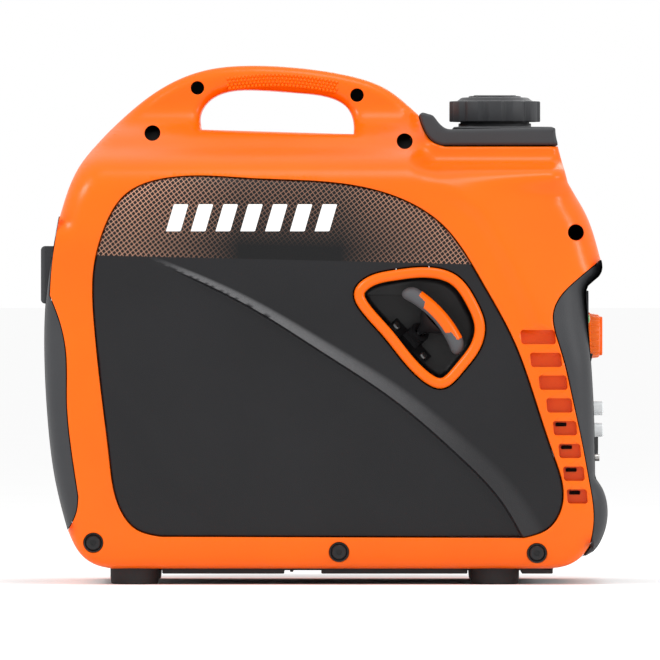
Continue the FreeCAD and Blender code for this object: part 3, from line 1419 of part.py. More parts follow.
usb = cut(
    block(14.0, 34.0, 15.0, (0, 0, -14.0)),
    *[block(5.2, 12.6, 12.0, (0, j * 8.4, -10.9)) for j in (-1, 1)],
)
node("usb_ports", place(usb, usb_at, TURN["X"]))
flap = fuse(
    rounded(block(20.0, 40.0, 1.8, (0, 0, 1.3)), 4.0, along(Vector(0, 0, 1))),
    block(6.0, 12.0, 3.4, (12.0, 0, 1.3)),
    cylinder(1.1, 26.0, (-10.0, -13.0, 2.2), "Y"),
)
node("usb_flap", place(flap, usb_at, TURN["X"]))
node(
    "status_lamps",
    group([
        place(turned("Lamp", ((0.0, -8.0), (4.0, -8.0), (4.0, 0.1), (3.4, 1.4), (0.0, 2.0))), at, TURN["X"])
        for at in lamp_ats
    ]),
)
nut = [(5.2 * math.cos(k * math.pi / 3), 5.2 * math.sin(k * math.pi / 3)) for k in range(6)]
ground = fuse(padded("Nut", nut, 4.0, (0, 0, 0.1)), cylinder(3.0, 22.0, (0, 0, -12.0)))
node("ground_terminal", place(ground, ground_at, TURN["X"]))

# ---------------------------------------------------------------- service side
latch_x = s.body_length * 0.16
latch_z = s.body_height * 0.60
LATCH = Vector(latch_x.value, SIDE, latch_z.value)
latch_hole = Part.makeCylinder(s.latch_radius.value + GAP, 40, LATCH - Vector(0, 30, 0), Vector(0, 1, 0))
cover_slots = [
    Part.makeBox(90.0, 40.0, 5.0, Vector(-LENGTH * 0.22, SIDE - 20, HEIGHT * 0.20 + k * 13.0)) for k in range(6)
]
feature("service_cover", mirrored(panel_blank).cut([latch_hole, *cover_slots]))
latch = fuse(
    cut(
        cylinder(s.latch_radius, 7.0 + s.ring_proud, (0, 0, -7.0)),
        block(60.0, 60.0, 20.0, (0, 0, 1.5)),
    ),
    block(2 * s.latch_radius - 4, 7.0, s.ring_proud - 0.1, (0, 0, 0.0)),
    cylinder(4.0, 14.0, (0, 0, -18.0)),
    block(22.0, 6.0, 3.0, (0, 0, -19.0)),
)
node("service_latch", place(latch, (latch_x, side_y, latch_z), TURN["Y"]))

# ---------------------------------------------------------------- check and write
doc.recompute()
for obj in doc.Objects:
    if "Invalid" in obj.State or "Error" in obj.State:
        raise RuntimeError(f"{obj.Name} ({obj.Label}) failed: {obj.State}")
for name, obj in nodes.items():
    shape = obj.Shape
    if shape.isNull() or not shape.Solids or not shape.isValid():
        raise RuntimeError(f"{name} isn't a valid solid")
if len(nodes) > 60:
    raise RuntimeError("too many sub-parts")
for name, obj in nodes.items():
    obj.Shape.exportStep(f"parts/{name}.step")
print(len(nodes), "sub-parts written")
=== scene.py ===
"""Looks of a portable inverter generator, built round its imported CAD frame.

Metres, +X to the control panel, -Y to the starter side, +Z up, origin on the floor.
Outlines are given on a grid: X in percent of the length from the middle, Z in percent
of the height from the floor.
"""

import logging
import math
from dataclasses import dataclass, field
from enum import Enum
from typing import Callable, Iterable, Sequence

import bmesh
import bpy
import numpy as np
from mathutils import Matrix, Vector, geometry


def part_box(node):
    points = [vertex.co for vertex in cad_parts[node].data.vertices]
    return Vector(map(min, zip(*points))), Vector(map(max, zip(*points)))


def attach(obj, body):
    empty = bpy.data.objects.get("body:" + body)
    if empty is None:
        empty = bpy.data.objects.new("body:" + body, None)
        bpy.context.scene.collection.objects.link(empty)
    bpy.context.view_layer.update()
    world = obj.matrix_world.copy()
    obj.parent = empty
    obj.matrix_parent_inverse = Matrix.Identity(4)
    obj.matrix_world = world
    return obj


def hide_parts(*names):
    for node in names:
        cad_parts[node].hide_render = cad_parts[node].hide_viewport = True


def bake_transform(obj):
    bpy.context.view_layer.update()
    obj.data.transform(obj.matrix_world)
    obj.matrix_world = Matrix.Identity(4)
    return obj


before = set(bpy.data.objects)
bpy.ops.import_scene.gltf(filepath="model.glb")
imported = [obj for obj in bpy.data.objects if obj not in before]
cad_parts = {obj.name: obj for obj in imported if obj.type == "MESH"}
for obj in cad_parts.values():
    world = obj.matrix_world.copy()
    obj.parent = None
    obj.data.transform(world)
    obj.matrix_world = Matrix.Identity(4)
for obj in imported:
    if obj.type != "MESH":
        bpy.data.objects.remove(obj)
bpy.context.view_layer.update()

log = logging.getLogger("generator")

MM = 0.001
LENGTH = 505 * MM
HEIGHT = 463 * MM
HALF_SIDE = 139.5 * MM  # flat of the side from the middle plane
STARTER, SERVICE = -1, 1  # sides, as the sign of Y

Point = tuple[float, float]
Surface = Callable[[np.ndarray, np.ndarray], np.ndarray]  # (domain points, drops) to places


# ------------------------------------------------------------------ outlines
TOP_EDGE = (
    (-46.5, 70.8), (-43.3, 80.0), (-40.0, 84.8), (-33.8, 91.6), (-27.7, 96.3),
    (-20.7, 99.2), (-13.6, 100.0), (-5.7, 99.7), (4.0, 98.2), (11.0, 95.6), (16.8, 90.4),
)
DECK_FILLET = ((16.8, 90.4), (18.0, 86.8), (19.4, 85.0), (21.5, 84.2))
NOSE_SLOPE = ((41.4, 84.2), (43.1, 77.2))
NOSE_EDGE = ((43.1, 77.2), (44.7, 74.3), (46.3, 71.2), (47.7, 67.2), (48.9, 62.4))
BEZEL_HOOK = ((48.9, 62.4), (44.4, 58.3), (41.7, 55.3), (40.4, 52.0), (40.9, 47.8))
BEZEL_EDGE = (
    (40.9, 47.8), (42.3, 42.8), (43.8, 35.7), (45.4, 27.6), (46.7, 20.0), (47.5, 12.0),
    (46.8, 7.3),
)
SOLE_FRONT = ((46.8, 7.3), (45.3, 5.2), (42.8, 3.6), (39.6, 3.0))
SOLE_REAR = ((-37.3, 3.0), (-39.8, 3.6), (-42.3, 5.2), (-44.0, 7.7), (-45.1, 10.4))
TAIL_HOOK = ((-45.1, 10.4), (-43.5, 14.0), (-43.2, 17.0))
TAIL_EDGE = (
    (-43.2, 17.0), (-44.4, 25.7), (-45.2, 35.0), (-45.4, 45.0), (-46.6, 51.0), (-48.2, 55.5),
)
TAIL_RISE = ((-48.2, 55.5), (-48.0, 59.5), (-46.5, 70.8))
REAR_FACE = (
    (-45.1, 10.4), (-47.2, 19.6), (-48.6, 31.5), (-49.2, 45.0), (-48.9, 55.1), (-46.5, 70.8),
)
FRONT_BROW = ((48.9, 62.4), (49.1, 60.7), (48.2, 58.8), (46.6, 57.4), (46.2, 56.0))
FRONT_FACE = ((46.2, 56.0), (47.0, 44.0), (47.5, 35.3), (47.8, 20.5))
BUMPER = ((47.8, 20.5), (49.0, 18.6), (50.0, 14.2), (49.0, 8.8), (46.8, 5.8), (45.3, 5.2))
PANEL_EDGE = (
    (35.2, 9.0), (39.6, 10.8), (42.1, 16.0), (40.5, 24.8), (37.3, 35.3), (33.5, 46.8),
    (27.8, 58.3), (20.7, 69.3), (12.7, 74.5), (3.1, 77.0), (-12.7, 78.0), (-28.0, 78.0),
    (-34.8, 75.0), (-38.6, 68.5), (-40.5, 60.5), (-40.4, 50.0), (-39.3, 38.2),
    (-37.7, 23.8), (-35.9, 14.6), (-33.0, 10.6), (-28.6, 9.2),
)
HANDLE_ARCH = (
    (-21.7, 87.5), (-21.9, 90.0), (-20.3, 93.1), (-17.2, 94.8), (-12.0, 95.2), (-4.0, 94.6),
    (1.5, 93.6), (4.2, 91.8), (5.3, 88.8), (5.3, 86.6),
)
RING_EDGE = (
    (5.2, 56.0), (7.6, 59.0), (12.0, 60.3), (18.7, 60.9), (23.6, 59.2), (26.8, 54.5),
    (28.4, 49.5), (27.6, 45.5), (24.6, 41.0), (20.7, 37.5), (17.3, 39.2), (10.4, 47.8),
    (6.4, 52.8),
)
RIDGE = (
    (-31.2, 63.7), (-23.3, 60.3), (-12.7, 55.1), (1.3, 46.4), (13.6, 38.2), (25.9, 27.6),
    (34.7, 18.0), (39.1, 10.4),
)
DENT = ((-40.2, 43.0), (-35.6, 35.3), (-30.7, 27.6), (-25.4, 19.0), (-19.2, 10.4))
CREASE = ((20.0, 77.6), (27.7, 71.7), (32.1, 64.1), (35.6, 56.4), (39.0, 47.7), (41.5, 40.0))
BODY_SCREWS = ((-30.3, 86.8), (14.3, 85.2), (44.4, 67.6))
HANDLE_SCREWS = ((-22.4, 95.6), (5.9, 94.2))
SHELL_BOLTS = ((-40.5, 8.1), (2.7, 6.3), (37.5, 6.1))


def grid(points: Iterable[Point]) -> np.ndarray:
    """Grid points as an (n, 2) array of X and Z in metres."""
    return np.array(list(points), float) * (LENGTH / 100, HEIGHT / 100)


def smooth(points: np.ndarray, step: float, closed: bool = False) -> np.ndarray:
    """A natural cubic spline through the points, resampled evenly.

    Args:
        points: (n, k) points to pass through.
        step: distance between the samples.
        closed: whether the curve returns to its first point.

    Returns:
        (m, k) samples, with the last point left out if the curve is closed.
    """
    pts = np.asarray(points, float)
    wrap = 4 if closed else 0
    if closed:
        pts = np.vstack([pts[-wrap:], pts, pts[: wrap + 1]])
    knots = np.concatenate([[0], np.cumsum(np.linalg.norm(np.diff(pts, axis=0), axis=1))])
    gap = np.diff(knots)
    n = len(pts)
    lhs = np.eye(n)
    rhs = np.zeros_like(pts)
    for i in range(1, n - 1):
        lhs[i, i - 1 : i + 2] = gap[i - 1], 2 * (gap[i - 1] + gap[i]), gap[i]
        rhs[i] = 6 * ((pts[i + 1] - pts[i]) / gap[i] - (pts[i] - pts[i - 1]) / gap[i - 1])
    bend = np.linalg.solve(lhs, rhs)
    first, last = (knots[wrap], knots[-wrap - 1]) if closed else (knots[0], knots[-1])
    t = np.linspace(first, last, 40 * n)
    i = np.clip(np.searchsorted(knots, t) - 1, 0, n - 2)
    a = ((knots[i + 1] - t) / gap[i])[:, None]
    b = 1 - a
    h2 = (gap[i] ** 2 / 6)[:, None]
    dense = a * pts[i] + b * pts[i + 1] + ((a**3 - a) * bend[i] + (b**3 - b) * bend[i + 1]) * h2
    return resample(dense, step, closed)


def resample(line: np.ndarray, step: float, closed: bool = False) -> np.ndarray:
    """Even samples along a polyline. A closed one leaves out its last point."""
    run = np.concatenate([[0], np.cumsum(np.linalg.norm(np.diff(line, axis=0), axis=1))])
    count = max(2, round(run[-1] / step))
    at = np.linspace(0, run[-1], count + 1)
    out = np.stack([np.interp(at, run, line[:, k]) for k in range(line.shape[1])], axis=1)
    return out[:-1] if closed else out


def path(*stretches: Sequence[Point], step: float = 2.5 * MM) -> np.ndarray:
    """One closed outline: smooth stretches, with straight lines where they don't meet.

    Args:
        stretches: grid points of each stretch, in order round the outline.
        step: distance between the samples.

    Returns:
        (n, 2) points in metres.
    """
    runs = []
    last = np.array(grid(stretches[-1])[-1])
    for stretch in stretches:
        pts = grid(stretch)
        if np.linalg.norm(pts[0] - last) > 1e-6:
            runs.append(resample(np.array([last, pts[0]]), step)[:-1])
        runs.append((smooth(pts, step) if len(pts) > 2 else resample(pts, step))[:-1])
        last = pts[-1]
    return np.vstack(runs)


def circle(centre: np.ndarray, radius: float, count: int = 40) -> np.ndarray:
    """A round loop of points."""
    a = np.linspace(0, 2 * math.pi, count, endpoint=False)
    return np.stack([centre[0] + radius * np.cos(a), centre[1] + radius * np.sin(a)], axis=1)


def rounded_box(low: Point, high: Point, radius: float, lean: float = 0.0) -> np.ndarray:
    """A loop round a box with round corners, its top pushed along X by lean.

    Args:
        low: lower left corner.
        high: upper right corner.
        radius: radius of the corners.
        lean: how far the top is pushed.

    Returns:
        (n, 2) points, anticlockwise.
    """
    loop = []
    for cx, cz, start in (
        (high[0] - radius, high[1] - radius, 0.0),
        (low[0] + radius, high[1] - radius, 90.0),
        (low[0] + radius, low[1] + radius, 180.0),
        (high[0] - radius, low[1] + radius, 270.0),
    ):
        for k in range(7):
            a = math.radians(start + 15 * k)
            loop.append((cx + radius * math.cos(a), cz + radius * math.sin(a)))
    out = np.array(loop)
    out[:, 0] += lean * (out[:, 1] - low[1]) / (high[1] - low[1])
    return out


def inside(points: np.ndarray, loop: np.ndarray) -> np.ndarray:
    """Which points lie inside a closed loop.

    Args:
        points: (n, 2) points.
        loop: (m, 2) points of the loop.

    Returns:
        A mask over the points.
    """
    x, z = points[:, 0], points[:, 1]
    hit = np.zeros(len(points), bool)
    ends = np.roll(loop, -1, axis=0)
    for (x1, z1), (x2, z2) in zip(loop, ends):
        if z1 == z2:
            continue
        cross = (z1 > z) != (z2 > z)
        hit ^= cross & (x < (x2 - x1) * (z - z1) / (z2 - z1) + x1)
    return hit


def reach(
    points: np.ndarray, line: np.ndarray, closed: bool = True, skip: np.ndarray | None = None
) -> tuple[np.ndarray, np.ndarray]:
    """Distance from each point to a polyline, and the index of the nearest segment.

    Args:
        points: (n, 2) points.
        line: the polyline's points.
        closed: whether it returns to its first point.
        skip: optional mask of the segments to leave out, by their first point.

    Returns:
        The distances, and the index of each nearest segment.
    """
    a = line if closed else line[:-1]
    b = np.roll(line, -1, axis=0) if closed else line[1:]
    way = b - a
    size = np.maximum((way**2).sum(1), 1e-18)
    best = np.empty(len(points))
    index = np.empty(len(points), int)
    for s in range(0, len(points), 4000):
        p = points[s : s + 4000, None, :] - a[None]
        t = np.clip((p * way[None]).sum(2) / size, 0, 1)
        d = np.linalg.norm(p - t[..., None] * way[None], axis=2)
        if skip is not None:
            d[:, skip[: len(a)]] = 9.0
        index[s : s + 4000] = d.argmin(1)
        best[s : s + 4000] = d.min(1)
    return best, index


def offset(loop: np.ndarray, distance: float) -> np.ndarray:
    """A closed loop moved inwards by a distance, along its own normals."""
    way = np.roll(loop, -1, axis=0) - np.roll(loop, 1, axis=0)
    way /= np.maximum(np.linalg.norm(way, axis=1), 1e-12)[:, None]
    area = (loop[:, 0] * np.roll(loop[:, 1], -1) - np.roll(loop[:, 0], -1) * loop[:, 1]).sum()
    normal = np.stack([-way[:, 1], way[:, 0]], axis=1) * (1 if area > 0 else -1)
    return loop + normal * distance


def ease(low: float, high: float, x: np.ndarray) -> np.ndarray:
    """0 below low, 1 above high, and a smooth step between."""
    t = np.clip((x - low) / (high - low), 0, 1)
    return t * t * (3 - 2 * t)


# ------------------------------------------------------------------ body surface
class BodyForm:
    """The body's cross-section: how far its side stands from the middle plane."""

    def __init__(self) -> None:
        """Tabulates the section, and the distance along it at each height."""
        half = 46 * MM / HALF_SIDE
        slim = 30 * MM / HALF_SIDE
        shoulder = (
            (1.0, 60.0), (1.0, 66.0), (0.998, 71.0), (0.985, 75.5), (0.945, 78.6),
            (0.86, 81.0), (0.74, 82.7), (0.62, 84.2), (0.52, 85.8), (half + 0.07, 87.4),
            (slim + 0.07, 89.2), (slim + 0.015, 91.5), (slim, 94.0),
        )
        foot = ((0.90, 3.0), (0.955, 4.0), (0.985, 6.5), (1.0, 11.0))
        self.height = np.linspace(0.0, 1.02, 6000) * HEIGHT
        self.side = self._table((*foot, *shoulder, (slim, 103.0)))
        deck = (
            *foot, *shoulder[:4], (0.95, 77.6), (0.88, 79.2), (0.78, 80.3), (0.70, 81.2),
            (0.667, 82.6), (0.66, 84.6), (0.655, 103.0),
        )
        self.deck = self._table(deck)
        slope = np.hypot(np.diff(self.side), np.diff(self.height))
        self.run = np.concatenate([[0], np.cumsum(slope)])

    def _table(self, profile: Sequence[Point]) -> np.ndarray:
        """Half width at each tabulated height, from (share, percent) points."""
        pts = np.array(profile) * (HALF_SIDE, HEIGHT / 100)
        line = smooth(pts, 0.5 * MM)
        line = line[np.argsort(line[:, 1])]
        return np.interp(self.height, line[:, 1], line[:, 0])

    def unroll(self, points: np.ndarray) -> np.ndarray:
        """(x, z) points as (x, distance along the section)."""
        return np.stack([points[:, 0], np.interp(points[:, 1], self.height, self.run)], axis=1)

    def roll(self, points: np.ndarray) -> np.ndarray:
        """(x, distance along the section) points as (x, z)."""
        return np.stack([points[:, 0], np.interp(points[:, 1], self.run, self.height)], axis=1)

    def out(self, xz: np.ndarray) -> np.ndarray:
        """Half width of the body at (x, z) points, with the crease behind the nose.

        Args:
            xz: (n, 2) points.

        Returns:
            The half width at each point.
        """
        x, z = xz[:, 0], xz[:, 1]
        on_deck = ease(0.145 * LENGTH, 0.20 * LENGTH, x)
        w = np.interp(z, self.height, self.side) * (1 - on_deck)
        w += np.interp(z, self.height, self.deck) * on_deck
        crease = smooth(grid(CREASE), 4 * MM)
        d, i = reach(xz, crease, closed=False)
        i = np.clip(i, 0, len(crease) - 2)
        way = crease[i + 1] - crease[i]
        side = way[:, 0] * (z - crease[i][:, 1]) - way[:, 1] * (x - crease[i][:, 0])
        beyond = np.where(side > 0, d, 0.0)
        hollow = np.where(side > 0, 0.0, 1.7 * MM * np.exp(-(((d - 13 * MM) / (8 * MM)) ** 2)))
        strength = ease(0.40 * HEIGHT, 0.52 * HEIGHT, z) * (1 - ease(0.74 * HEIGHT, 0.80 * HEIGHT, z))
        return w - strength * (0.34 * (np.sqrt(beyond**2 + (2 * MM) ** 2) - 2 * MM) + hollow)


FORM = BodyForm()


# ------------------------------------------------------------------ meshes
def piece(
    name: str,
    verts: Sequence[Sequence[float]],
    faces: Sequence[Sequence[int]],
    sharp: float = 38.0,
) -> bpy.types.Object:
    """A mesh object with smooth shading, sharp where faces meet at a steep angle.

    Args:
        name: name of the new object.
        verts: places of its points.
        faces: indices of each face's points.
        sharp: angle, in degrees, from which an edge is sharp.

    Returns:
        The mesh object.
    """
    mesh = bpy.data.meshes.new(name)
    mesh.from_pydata([tuple(map(float, v)) for v in verts], [], [tuple(map(int, f)) for f in faces])
    mesh.validate()
    mesh.update()
    mesh.shade_smooth()
    mesh.set_sharp_from_angle(angle=math.radians(sharp))
    obj = bpy.data.objects.new(name, mesh)
    bpy.context.scene.collection.objects.link(obj)
    return obj


TO_MIDDLE = -1.0  # a wall that runs on to the middle plane
SEAM_RADIUS = 2.2 * MM  # widest rounding of a seam; anything wider is a soft edge


@dataclass
class Border:
    """One edge loop of a moulded sheet: its points, the rounding there, and its wall's depth."""

    loop: np.ndarray
    radius: np.ndarray | float = 1.0 * MM
    wall: np.ndarray | float = 6 * MM
    floor: bool = False

    def per_point(self, value: np.ndarray | float) -> np.ndarray:
        """A value for each point of the loop."""
        return np.broadcast_to(np.asarray(value, float), (len(self.loop),)).copy()

    def rounding(self, flat: np.ndarray) -> np.ndarray:
        """How far each point of the skin drops beside this border.

        The soft stretches and the seams are measured apart, so a wide rounding runs on
        unbroken up to a seam.

        Args:
            flat: (n, 2) points of the domain.

        Returns:
            The drop at each point.
        """
        size = self.per_point(self.radius)
        out = np.zeros(len(flat))
        for soft in (size > SEAM_RADIUS, size <= SEAM_RADIUS):
            if not soft.any():
                continue
            d, i = reach(flat, self.loop, skip=~soft)
            r = size[i]
            d = np.minimum(d, r)
            out = np.maximum(out, r - np.sqrt(np.maximum(r**2 - (r - d) ** 2, 0)))
        return out


@dataclass
class MouldedSheet:
    """A skin over a flat domain, with round edges and walls along its borders."""

    outer: Border
    holes: list[Border]
    place: Surface
    step: float = 4 * MM
    middle: float = 0.4 * MM
    rows: Sequence[np.ndarray] = ()

    def build(self, name: str) -> bpy.types.Object:
        """Triangulates the domain, lifts it to its surface and adds the walls.

        Args:
            name: name of the new object.

        Returns:
            The mesh object.
        """
        borders = [self.outer, *self.holes]
        pts = [b.loop for b in borders]
        edges = []
        start = 0
        for b in borders:
            n = len(b.loop)
            edges += [(start + k, start + (k + 1) % n) for k in range(n)]
            start += n
        pts.append(self._rings(borders))
        pts.append(self._lattice(borders))
        flat = np.vstack(pts)
        found = geometry.delaunay_2d_cdt([Vector(p) for p in flat], edges, [], 0, 1e-7)
        flat = np.array([tuple(p) for p in found[0]])
        tris = np.array([t for t in found[2] if len(t) == 3])
        mid = flat[tris].mean(1)
        keep = inside(mid, self.outer.loop)
        for hole in self.holes:
            keep &= ~inside(mid, hole.loop)
        tris = tris[keep]
        drop = np.zeros(len(flat))
        for b in borders:
            drop += b.rounding(flat)
        verts = list(self.place(flat, drop))
        faces = [tuple(t) for t in tris]
        for b in borders:
            self._walls(b, verts, faces)
        return piece(name, verts, faces)

    def _rings(self, borders: list[Border]) -> np.ndarray:
        """Rows of points beside each border, closer together where its edge is round.

        Args:
            borders: every border of the sheet.

        Returns:
            (n, 2) points of the domain.
        """
        rows = []
        for b in borders:
            r = b.per_point(b.radius)
            hole = b is not self.outer
            for share in (0.012, 0.05, 0.12, 0.22, 0.36, 0.54, 0.76, 1.0):
                row = offset(b.loop, -1.0 if hole else 1.0) - b.loop
                row = b.loop + row * (r * share)[:, None]
                ok = np.ones(len(row), bool)
                for c in borders:
                    near = reach(row, c.loop)[0]
                    ok &= near > (r * share * 0.9 if c is b else 0.25 * MM)
                ok &= inside(row, self.outer.loop)
                for other in self.holes:
                    ok &= ~inside(row, other.loop)
                gap = r * share < 1.2 * MM
                ok &= gap | (np.arange(len(row)) % 2 == 0)
                rows.append(row[ok])
        return np.vstack(rows)

    def _lattice(self, borders: list[Border]) -> np.ndarray:
        """An even lattice inside the domain, clear of the rows beside the borders.

        Args:
            borders: every border of the sheet.

        Returns:
            (n, 2) points of the domain, the extra rows among them.
        """
        low, high = self.outer.loop.min(0), self.outer.loop.max(0)
        x, z = np.meshgrid(np.arange(low[0], high[0], self.step), np.arange(low[1], high[1], self.step))
        pts = np.stack([x.ravel(), z.ravel()], axis=1)
        pts = pts[inside(pts, self.outer.loop)]
        for hole in self.holes:
            pts = pts[~inside(pts, hole.loop)]
        for b in borders:
            d, i = reach(pts, b.loop)
            r = b.per_point(b.radius)[i]
            pts = pts[d > np.maximum(np.minimum(r, 3 * MM) * 1.1, 1.2 * MM)]
        for row in self.rows:
            pts = pts[reach(pts, row, closed=False)[0] > 1.6 * MM]
        for row in self.rows:
            row = row[inside(row, self.outer.loop)]
            for b in borders:
                row = row[reach(row, b.loop)[0] > 2.2 * MM]
            for hole in self.holes:
                row = row[~inside(row, hole.loop)]
            pts = np.vstack([pts, row])
        return pts

    def _walls(self, b: Border, verts: list[np.ndarray], faces: list[tuple[int, ...]]) -> None:
        """Adds the wall along one border, and its floor if it has one.

        Args:
            b: the border.
            verts: places made so far, which grow.
            faces: faces made so far, which grow.
        """
        n = len(b.loop)
        wall = b.per_point(b.wall)
        top = self.place(b.loop, b.per_point(b.radius))
        base = len(verts)
        verts.extend(top)
        deep = [self._deep(p, w) for p, w in zip(top, wall)]
        verts.extend(deep)
        for k in range(n):
            m = (k + 1) % n
            if wall[k] == 0 or wall[m] == 0:
                continue
            if (wall[k] < 0) != (wall[m] < 0):
                continue
            faces.append((base + k, base + m, base + n + m, base + n + k))
        if b.floor:
            centre = len(verts)
            verts.append(np.mean(deep, axis=0))
            faces.extend((base + n + k, base + n + (k + 1) % n, centre) for k in range(n))

    def _deep(self, point: np.ndarray, wall: float) -> np.ndarray:
        """Where the wall that starts at a point ends."""
        out = np.array(point, float)
        side = -1.0 if point[1] < 0 else 1.0
        out[1] = side * self.middle if wall < 0 else point[1] - side * wall
        return out


def side_sheet(side: int) -> Surface:
    """How a point of the unrolled side becomes a point in space.

    Args:
        side: STARTER or SERVICE.

    Returns:
        A function of domain points and their drops.
    """

    def place(flat: np.ndarray, drop: np.ndarray) -> np.ndarray:
        """Places the domain's points on the body's side."""
        xz = FORM.roll(flat)
        w = np.maximum(FORM.out(xz) - drop, 0.5 * MM)
        return np.stack([xz[:, 0], side * w, xz[:, 1]], axis=1)

    return place


def mirrored(source: bpy.types.Object, name: str) -> bpy.types.Object:
    """A copy on the other side of the middle plane.

    Args:
        source: the mesh object to mirror.
        name: name of the copy.

    Returns:
        The copy.
    """
    mesh = source.data.copy()
    mesh.transform(Matrix.Diagonal((1, -1, 1, 1)))
    mesh.flip_normals()
    obj = bpy.data.objects.new(name, mesh)
    bpy.context.scene.collection.objects.link(obj)
    return obj


def lathe(
    name: str, profile: Sequence[Point], count: int = 64, squeeze: Callable | None = None
) -> bpy.types.Object:
    """A turned piece about Z from (radius, height) points.

    Args:
        name: name of the new object.
        profile: (radius, height) from one end of the axis to the other.
        count: steps round.
        squeeze: optional function of (angle, radius, height) that gives a new radius.

    Returns:
        The mesh object, about the world's Z axis.
    """
    verts, faces = [], []
    for k in range(count):
        a = 2 * math.pi * k / count
        for r, h in profile:
            rr = squeeze(a, r, h) if squeeze else r
            verts.append((rr * math.cos(a), rr * math.sin(a), h))
    n = len(profile)
    for k in range(count):
        for j in range(n - 1):
            a, b = k * n + j, (k + 1) % count * n + j
            faces.append((a, b, b + 1, a + 1))
    return piece(name, verts, faces, 35)


def tube(
    name: str, line: np.ndarray, ring: np.ndarray, closed: bool, up: Sequence[float]
) -> bpy.types.Object:
    """A section swept along a line; the section's second axis stays along up.

    Args:
        name: name of the new object.
        line: (n, 3) points to follow.
        ring: (m, 2) points of the section.
        closed: whether the line returns to its first point.
        up: the way that the section's second axis faces.

    Returns:
        The mesh object.
    """
    pts = np.asarray(line, float)
    n, m = len(pts), len(ring)
    way = np.roll(pts, -1, axis=0) - np.roll(pts, 1, axis=0)
    if not closed:
        way[0], way[-1] = pts[1] - pts[0], pts[-1] - pts[-2]
    way /= np.linalg.norm(way, axis=1)[:, None]
    across = np.cross(way, np.asarray(up, float))
    across /= np.linalg.norm(across, axis=1)[:, None]
    lift = np.cross(across, way)
    verts = pts[:, None] + across[:, None] * ring[None, :, :1] + lift[:, None] * ring[None, :, 1:]
    verts = verts.reshape(-1, 3)
    faces = []
    for k in range(n if closed else n - 1):
        for j in range(m):
            a, b = k * m + j, (k + 1) % n * m + j
            c, d = (k + 1) % n * m + (j + 1) % m, k * m + (j + 1) % m
            faces.append((a, b, c, d))
    if not closed:
        faces += [tuple(range(m - 1, -1, -1)), tuple(range((n - 1) * m, n * m))]
    return piece(name, verts, faces, 40)


def slab(
    name: str, loop: np.ndarray, low: float, high: float, bevel: float, axes: str = "xz"
) -> bpy.types.Object:
    """A plate from a closed loop, with rounded edges.

    Args:
        name: name of the new object.
        loop: (n, 2) outline.
        low: lower end of its thickness, along the third axis.
        high: upper end.
        bevel: rounding of its two rims.
        axes: which axes the outline lies in.

    Returns:
        The mesh object.
    """
    n = len(loop)
    rows = []
    for end, sign in ((low, 1), (high, -1)):
        arc = [(bevel * (1 - math.cos(a)), bevel * (1 - math.sin(a))) for a in np.linspace(0, math.pi / 2, 5)]
        part = [(inn, end + sign * lift) for lift, inn in ((b, a) for a, b in arc)]
        rows += part if sign < 0 else part[::-1]
    loops = [(offset(loop, inn) if inn else loop, level) for inn, level in rows]
    third = ({"xz": 1, "xy": 2, "yz": 0})[axes]
    order = [i for i in range(3) if i != third]
    verts = []
    for shape, level in loops:
        block = np.empty((n, 3))
        block[:, order[0]], block[:, order[1]], block[:, third] = shape[:, 0], shape[:, 1], level
        verts.append(block)
    verts = np.vstack(verts)
    faces = []
    for r in range(len(loops) - 1):
        for k in range(n):
            m = (k + 1) % n
            faces.append((r * n + k, r * n + m, (r + 1) * n + m, (r + 1) * n + k))
    for shape, first in ((loops[0][0], 0), (loops[-1][0], (len(loops) - 1) * n)):
        faces += filled(shape, first)
    obj = piece(name, verts, faces, 40)
    fix_normals(obj)
    return obj


def filled(loop: np.ndarray, first: int) -> list[tuple[int, ...]]:
    """Triangles that fill a flat loop, hollow bends included, numbered from first."""
    tris = geometry.tessellate_polygon([[Vector((p[0], p[1], 0.0)) for p in loop]])
    return [tuple(first + i for i in t) for t in tris]


def soften(loop: np.ndarray, sigma: float) -> np.ndarray:
    """A closed loop with its corners rounded by a moving average along it.

    Args:
        loop: (n, 2) points, evenly spaced.
        sigma: spread of the average.

    Returns:
        (n, 2) points.
    """
    step = np.linalg.norm(np.diff(loop, axis=0), axis=1).mean()
    reach_out = int(3 * sigma / step)
    weight = np.exp(-0.5 * (np.arange(-reach_out, reach_out + 1) * step / sigma) ** 2)
    weight /= weight.sum()
    wide = np.vstack([loop[-reach_out:], loop, loop[:reach_out]])
    return np.stack([np.convolve(wide[:, k], weight, "valid") for k in (0, 1)], axis=1)


def fix_normals(obj: bpy.types.Object) -> None:
    """Turns a closed mesh's faces outwards.

    Args:
        obj: the mesh object.
    """
    bm = bmesh.new()
    bm.from_mesh(obj.data)
    bmesh.ops.recalc_face_normals(bm, faces=bm.faces)
    bm.to_mesh(obj.data)
    bm.free()


def joined(name: str, objs: Sequence[bpy.types.Object]) -> bpy.types.Object:
    """Several meshes as one object, their places applied.

    Args:
        name: name of the new object.
        objs: the objects, which are removed.

    Returns:
        The joined object.
    """
    verts: list[Vector] = []
    faces: list[tuple[int, ...]] = []
    for obj in objs:
        base = len(verts)
        verts += [obj.matrix_world @ v.co for v in obj.data.vertices]
        faces += [tuple(base + i for i in p.vertices) for p in obj.data.polygons]
        bpy.data.objects.remove(obj)
    return piece(name, verts, faces)


def middle_of(node: str) -> tuple[float, float]:
    """The middle of a CAD sub-part's box, along X and Y."""
    low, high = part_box(node)
    return (low.x + high.x) / 2, (low.y + high.y) / 2


def shifted(obj: bpy.types.Object, at: Sequence[float], turn: Matrix | None = None) -> bpy.types.Object:
    """Turns a mesh, then moves it."""
    if turn is not None:
        obj.data.transform(turn.to_4x4())
    obj.data.transform(Matrix.Translation(Vector(at)))
    return obj


# ------------------------------------------------------------------ shader groups
class Group(Enum):
    """The effects that several finishes share."""

    GRAIN = "mould_grain"
    TONE = "colour_drift"
    DUST = "settled_dust"


